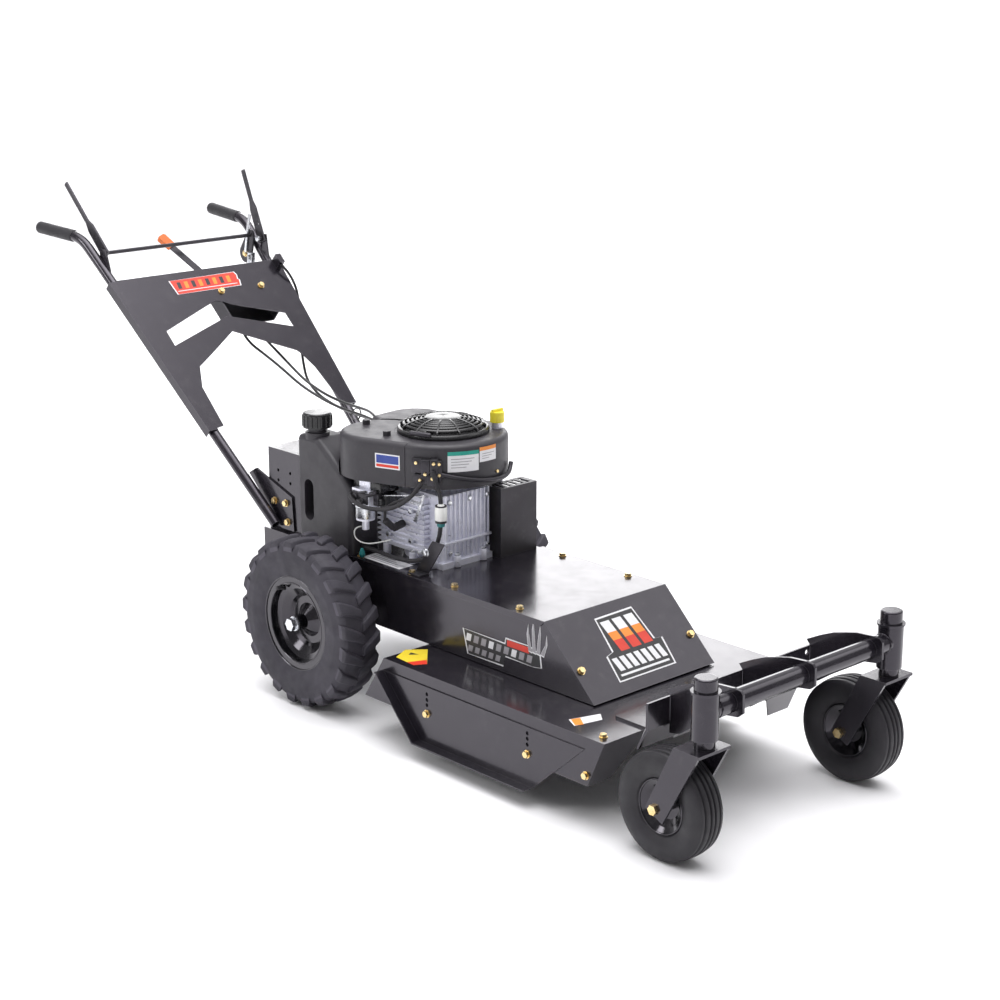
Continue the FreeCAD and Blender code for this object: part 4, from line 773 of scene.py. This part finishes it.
def panel_point(along, across, lift=0.0):
    """A point on the control panel's face."""
    face = PANEL_TOP + PANEL_RUN * (along / 1000) + Vector((0, across / 1000, 0))
    return face + PANEL_OUT * ((PANEL_FACE + lift) / 1000)


def panel_graphic():
    """Red banner with a white border and plain slanted bars."""
    banner = [(171, -99), (169, 108), (180, 112), (194, 108), (196, 112), (216, 106), (217, -95)]
    sticker("panel_border", panel_point, banner, 0, "white_ink")
    sticker("panel_red", panel_point, inset(banner, 3.5), 1, "red_ink")
    for index in range(8):
        across = -82 + 22 * index
        bar = [(179, across + 3), (179, across + 14), (200, across + 11), (200, across)]
        sticker("panel_bar_%d" % index, panel_point, bar, 2, "orange_ink" if index % 2 else "dark_ink")
    sticker("panel_rule", panel_point, [(206, -88), (206, 98), (208, 98), (208, -88)], 2, "white_ink")


def wrapped_label(name, turn, heights, layer, material):
    """A label wrapped round the blower housing between two angles, in degrees."""
    lift = 0.25 + 0.15 * layer
    steps = 12
    verts = []
    for step in range(steps + 1):
        angle = math.radians(turn[0] + (turn[1] - turn[0]) * step / steps)
        out = Vector((math.cos(angle), math.sin(angle), 0))
        for reach in (HOUSING_RADIUS + lift - 0.15, HOUSING_RADIUS + lift):
            for height in heights:
                verts.append(at(ENGINE[0], ENGINE[1], height) + out * (reach / 1000))
    faces = [(0, 1, 3, 2), (4 * steps, 4 * steps + 2, 4 * steps + 3, 4 * steps + 1)]
    for step in range(steps):
        low = 4 * step
        for first, second in ((0, 1), (1, 3), (3, 2), (2, 0)):
            faces.append((low + first, low + second, low + 4 + second, low + 4 + first))
    return piece(name, verts, faces, material, "chassis")


def engine_labels():
    """Two plain information labels on the housing and a small badge on the air cleaner cover."""
    wrapped_label("housing_label", (-38, -9.6), (575, 621), 0, "white_ink")
    wrapped_label("housing_label_band", (-38, -9.6), (613, 622), 1, "teal_ink")
    for index in range(4):
        height = 604 - 6.5 * index
        wrapped_label("housing_label_row_%d" % index, (-35, -14 - 2.5 * index), (height, height + 1.6), 1,
                      "grey_ink")
    wrapped_label("housing_tag", (-8.6, 10.6), (592, 626), 0, "white_ink")
    wrapped_label("housing_tag_band", (-8.6, 10.6), (618, 626.5), 1, "orange_ink")
    for index in range(3):
        height = 610 - 5.5 * index
        wrapped_label("housing_tag_row_%d" % index, (-6, 8 - 3 * index), (height, height + 1.4), 1,
                      "grey_ink")

    def cover_point(along, height, lift=0.0):
        start = at(84.4, -185.9, 0)
        run = (at(190, -147.3, 0) - start).normalized()
        out = Vector((run.y, -run.x, 0))
        return start + run * (along / 1000) + out * (lift / 1000) + Vector((0, 0, height / 1000))

    sticker("badge_border", cover_point, [(36, 606), (100, 606), (100, 572), (36, 572)], 0, "white_ink")
    sticker("badge_field", cover_point, [(39, 603), (97, 603), (97, 584), (39, 584)], 1, "blue_ink")
    sticker("badge_bar", cover_point, [(39, 581.5), (97, 581.5), (97, 575), (39, 575)], 1, "red_ink")


# ---------------------------------------------------------------- smaller parts

def control_cluster():
    """Throttle and choke bracket with its screws, and the breather pipe, round the housing."""
    shapes = []
    centre = at(ENGINE[0], ENGINE[1], 0)

    def spot(angle, reach, height):
        turn = math.radians(angle)
        return centre + Vector((math.cos(turn) * reach, math.sin(turn) * reach, height)) / 1000

    for angle, height, half, tall, deep in ((-64, 590, 9, 17, 160), (-56, 584, 7, 22, 164), (-49, 588, 6,
                                                                                             20, 168),
                                            (-60, 562, 12, 10, 165), (-50, 560, 8, 12, 170), (-45, 578, 4,
                                                                                              26, 162)):
        corners = [spot(angle - half / 2, 149.5, height - tall), spot(angle + half / 2, 149.5,
                                                                      height - tall),
                   spot(angle + half / 2, deep, height - tall), spot(angle - half / 2, deep, height - tall)]
        shapes.append(slab_shape(corners, Vector((0, 0, 2 * tall / 1000))))
    piece("control_bracket", *merge(shapes), "black_satin", "chassis", 0.0014, 2)
    heads = []
    for angle, reach, height in ((-64, 160, 598), (-56, 164, 574), (-49, 168, 600), (-60, 165, 560),
                                 (-50, 170, 566),
                                 (-45, 162, 598), (-45, 162, 572), (12, 150, 562)):
        turn = math.radians(angle)
        out = Vector((math.cos(turn), math.sin(turn), 0))
        heads.append(hexagon_shape(spot(angle, reach - 0.5, height), out, 4.2, 4.5))
    piece("control_screws", *merge(heads), "yellow_zinc", "chassis", 0.0005)
    pipe = []
    pipe_reach = 158.5
    for angle, height in ((-47, 574), (-38, 568), (-25, 560), (-10, 552), (5, 547), (18, 545), (28, 548),
                          (34, 556), (37, 568)):
        turn = math.radians(angle)
        pipe.append((ENGINE[0] + pipe_reach * math.cos(turn), ENGINE[1] + pipe_reach * math.sin(turn),
                     height))
    hose("breather_pipe", pipe, 5.2, "black_satin", "chassis")


def fuel_parts():
    """In-line filter, the hose to the carburettor, and the carburettor's linkage, box, bowl and wire."""
    foot = at(284, -122, 466)
    up = Vector((0, 0, 1))
    filter_profile = [(0.01, -3), (6, -3), (6, 2), (13.6, 6), (14.2, 8), (14.2, 33), (13.4, 35),
                      (13.4, 37), (7, 41),
                      (6.2, 44), (0.01, 44)]
    filter_shape = lathe_shape(foot, up, filter_profile, 40)
    piece("fuel_filter", *filter_shape, "white_plastic", "chassis", 0.0006)
    cap = lathe_shape(foot, up, [(0.01, -9), (8.4, -9), (9.2, -4), (9.2, 1), (0.01, 1)], 32)
    piece("filter_inlet", *cap, "green_plastic", "chassis", 0.0006)
    loop = [(252, -152, 556), (240, -168, 526), (206, -188, 498), (160, -196, 484), (112, -199, 479),
            (70, -198, 484),
            (48, -194, 494), (43, -186, 499), (46, -176, 498)]
    hose("carburettor_hose", loop, 5.0, "grip_rubber", "chassis")
    body = merge([box_shape((46, -186, 480), (100, -181, 506)),
                  rod_shape(at(60, -180, 494), at(60, -190, 494), 9),
                  rod_shape(at(84, -180, 488), at(84, -189, 488), 7),
                  rod_shape(at(92, -184, 500), at(120, -172, 512), 5),
                  box_shape((104, -170, 478), (122, -140, 508)),
                  rod_shape(at(70, -186, 504), at(100, -186, 512), 3)])
    piece("carburettor_linkage", *body, "black_satin", "chassis", 0.0016, 2)
    horn = merge([box_shape((30, -168, 508), (128, -112, 534)),
                  box_shape((112, -158, 470), (136, -124, 508)),
                  rod_shape(at(40, -150, 500), at(40, -176, 500), 11),
                  rod_shape(at(124, -150, 488), at(124, -168, 488), 9)])
    piece("intake_box", *horn, "black_gloss_plastic", "chassis", 0.003, 3)
    bowl_profile = [(0.01, -2), (15, -2), (20, 1), (22.6, 6), (22.6, 30), (24, 31), (24, 35.5),
                    (0.01, 35.5)]
    bowl = lathe_shape(at(66, -162, 436), up, bowl_profile, 48)
    piece("bowl_skin", *bowl, "bright_zinc", "chassis", 0.0008)
    hose("solenoid_wire", [(58, -168, 418), (44, -176, 414), (42, -178, 396), (52, -176, 384),
                           (78, -170, 380),
                           (110, -158, 388), (130, -140, 396)], 1.6, "white_plastic", "chassis")
    clip_profile = [(0.01, -9), (5, -9), (7.5, -3), (6, 4), (3, 12), (0.01, 12)]
    clip = lathe_shape(at(66, -174, 356), up, clip_profile, 24)
    piece("wire_clip", *clip, "green_plastic", "chassis", 0.0005)


def stay_plate():
    """Slanted stay from the engine deck to the crankcase, with its bolt and spacer."""
    stay = [at(230, -150, 349.4), at(270, -150, 349.4), at(325, -150, 428), at(284, -150, 428)]
    plate = slab_shape(stay, Vector((0, 0.004, 0)))
    piece("engine_stay", *plate, "black_satin", "chassis", 0.0008)
    foot = box_shape((228, -176, 345.3), (270, -146, 349.3))
    piece("stay_foot", *foot, "black_satin", "chassis", 0.0008)
    bolt = merge([hexagon_shape(at(263, -150, 397), Vector((0, -1, 0)), 8.5, 7),
                  rod_shape(at(263, -151.2, 397),
                 at(263, -149, 397), 10.5), rod_shape(at(246, -158, 394), at(246, -146, 394), 4)])
    piece("stay_bolt", *bolt, "bright_zinc", "chassis", 0.0006)


def handle_parts():
    """Lever link, clevis, cam bolt and pivot nut on the handlebar, and the tie round the cables."""
    link = rod_shape(at(-890, 219, 905), at(-868, 219, 1010), 4.2)
    fork = merge([box_shape((-878, 214, 868), (-874, 226, 905)), box_shape((-862, 214, 868),
                                                                           (-858, 226, 905)),
                  box_shape((-878, 214, 901), (-858, 226, 907))])
    piece("lever_link", *merge([link, fork]), "bright_zinc", "drive_lever", 0.0006)
    cam = merge([hexagon_shape(at(-893, 221.2, 902), Vector((0, -1, 0)), 8, 6),
                 rod_shape(at(-893, 222, 902),
                at(-893, 219.6, 902), 10)])
    piece("cam_bolt", *cam, "yellow_zinc", "drive_lever", 0.0006)
    pivot = hexagon_shape(at(-838, 224.6, 947), Vector((0, -1, 0)), 8, 6)
    piece("pivot_nut", *pivot, "bright_zinc", "chassis", 0.0006)
    tie_profile = [(14, -2.4), (15.6, -2.4), (15.6, 2.4), (14, 2.4)]
    tie = lathe_shape(at(-335, 141, 566), Vector((1, 0, 0)), tie_profile, 40)
    piece("cable_tie", *tie, "cable_sleeve", "chassis", 0.0004)


def weld_beads():
    """Weld seams where the carriage's gussets and tubes meet."""
    runs = []
    for across in (-217, 0, 217):
        for side in (-4.5, 4.5):
            runs.append([(1075, across + side, 250), (1075, across + side, 275), (1075, across + side,
                                                                                  298)])
            runs.append([(1206, across + side, 316), (1203, across + side, 330), (1206, across + side,
                                                                                  345)])
    for sign in (-1, 1):
        ring = []
        for step in range(13):
            angle = 2 * math.pi * step / 12
            ring.append((1224 + 21.5 * math.cos(angle), sign * 261.5, 330 + 21.5 * math.sin(angle)))
        runs.append(ring)
    for index, run in enumerate(runs):
        hose("weld_%02d" % index, run, 2.1, "black_frame", "chassis")


dress_frame()
for wheel_side in SIDES:
    rear_tyre(wheel_side)
    caster_tyre(wheel_side)
starter_cover()
crankcase_ribs()
engine_hardware()
nose_graphic()
wall_graphic()
small_labels()
panel_graphic()
engine_labels()
control_cluster()
fuel_parts()
stay_plate()
handle_parts()
weld_beads()


# ---------------------------------------------------------------- camera, floor and light

def make_camera():
    """Three-quarter view from the right front, slightly above."""
    data = bpy.data.cameras.new("camera")
    data.lens = 74.68
    data.sensor_width = 36.0
    camera = bpy.data.objects.new("camera", data)
    scene.collection.objects.link(camera)
    camera.location = (3.5674, -3.0758, 1.7781)
    gaze = Vector((-0.7032, 0.6572, -0.2713))
    camera.rotation_euler = gaze.to_track_quat("-Z", "Y").to_euler()
    scene.camera = camera


def make_floor():
    """Wide pale floor under the wheels."""
    build = bmesh.new()
    bmesh.ops.create_grid(build, x_segments=1, y_segments=1, size=90.0)
    mesh = bpy.data.meshes.new("floor")
    build.to_mesh(mesh)
    build.free()
    floor = bpy.data.objects.new("floor", mesh)
    scene.collection.objects.link(floor)
    floor.location = (0, 0, FLOOR_LEVEL)
    g = Graph("floor")
    colour = g.blend(g.noise(1.5, 3.0), (0.90, 0.90, 0.905), (0.93, 0.93, 0.935))
    mesh.materials.append(g.finish(colour, g.span(g.noise(12.0), 0.75, 0.85)))


def soft_light(name, place, target, width, height, power):
    """A rectangular light that faces a target; power is in watts."""
    data = bpy.data.lights.new(name, "AREA")
    data.shape = "RECTANGLE"
    data.size = width
    data.size_y = height
    data.energy = power
    light = bpy.data.objects.new(name, data)
    scene.collection.objects.link(light)
    light.location = place
    light.rotation_euler = (Vector(target) - Vector(place)).to_track_quat("-Z", "Y").to_euler()


def world_ramp(tree, direction, start, end, low, high):
    """A world brightness that rises from low to high as the direction nears the given one."""
    place = tree.nodes.new("ShaderNodeTexCoord")
    toward = tree.nodes.new("ShaderNodeVectorMath")
    toward.operation = "DOT_PRODUCT"
    toward.inputs[1].default_value = direction
    ramp = tree.nodes.new("ShaderNodeMapRange")
    ramp.interpolation_type = "SMOOTHSTEP"
    for key, value in (("From Min", start), ("From Max", end), ("To Min", low), ("To Max", high)):
        ramp.inputs[key].default_value = value
    tree.links.new(place.outputs["Generated"], toward.inputs[0])
    tree.links.new(toward.outputs["Value"], ramp.inputs["Value"])
    return ramp.outputs["Result"]


def make_light():
    """Dim surround, brighter behind the machine and straight above, with four soft boxes."""
    world = bpy.data.worlds.new("studio")
    scene.world = world
    world.use_nodes = True
    tree = world.node_tree
    total = tree.nodes.new("ShaderNodeMath")
    total.operation = "ADD"
    behind = world_ramp(tree, (-0.72, 0.69, 0.0), start=0.2, end=0.95, low=0.34, high=1.0)
    above = world_ramp(tree, (0.0, 0.0, 1.0), start=0.76, end=0.90, low=0.0, high=2.9)
    tree.links.new(behind, total.inputs[0])
    tree.links.new(above, total.inputs[1])
    background = tree.nodes["Background"]
    tree.links.new(total.outputs["Value"], background.inputs["Strength"])
    background.inputs["Color"].default_value = (0.985, 0.975, 1.0, 1.0)
    soft_light("overhead", (-0.3, 0.1, 4.2), (0.0, 0, 0), 2.4, 2.4, 60)
    soft_light("back_panel", (-4.6, 4.0, 2.1), (0.3, 0, 0.3), 5.0, 2.4, 120)
    soft_light("left_panel", (2.2, 3.0, 3.4), (0.6, 0, 0.3), 2.4, 1.8, 22)
    soft_light("right_panel", (-2.4, -4.2, 2.8), (-0.3, 0, 0.5), 1.6, 1.6, 60)


make_camera()
make_floor()
make_light()
scene.view_settings.view_transform = "Standard"
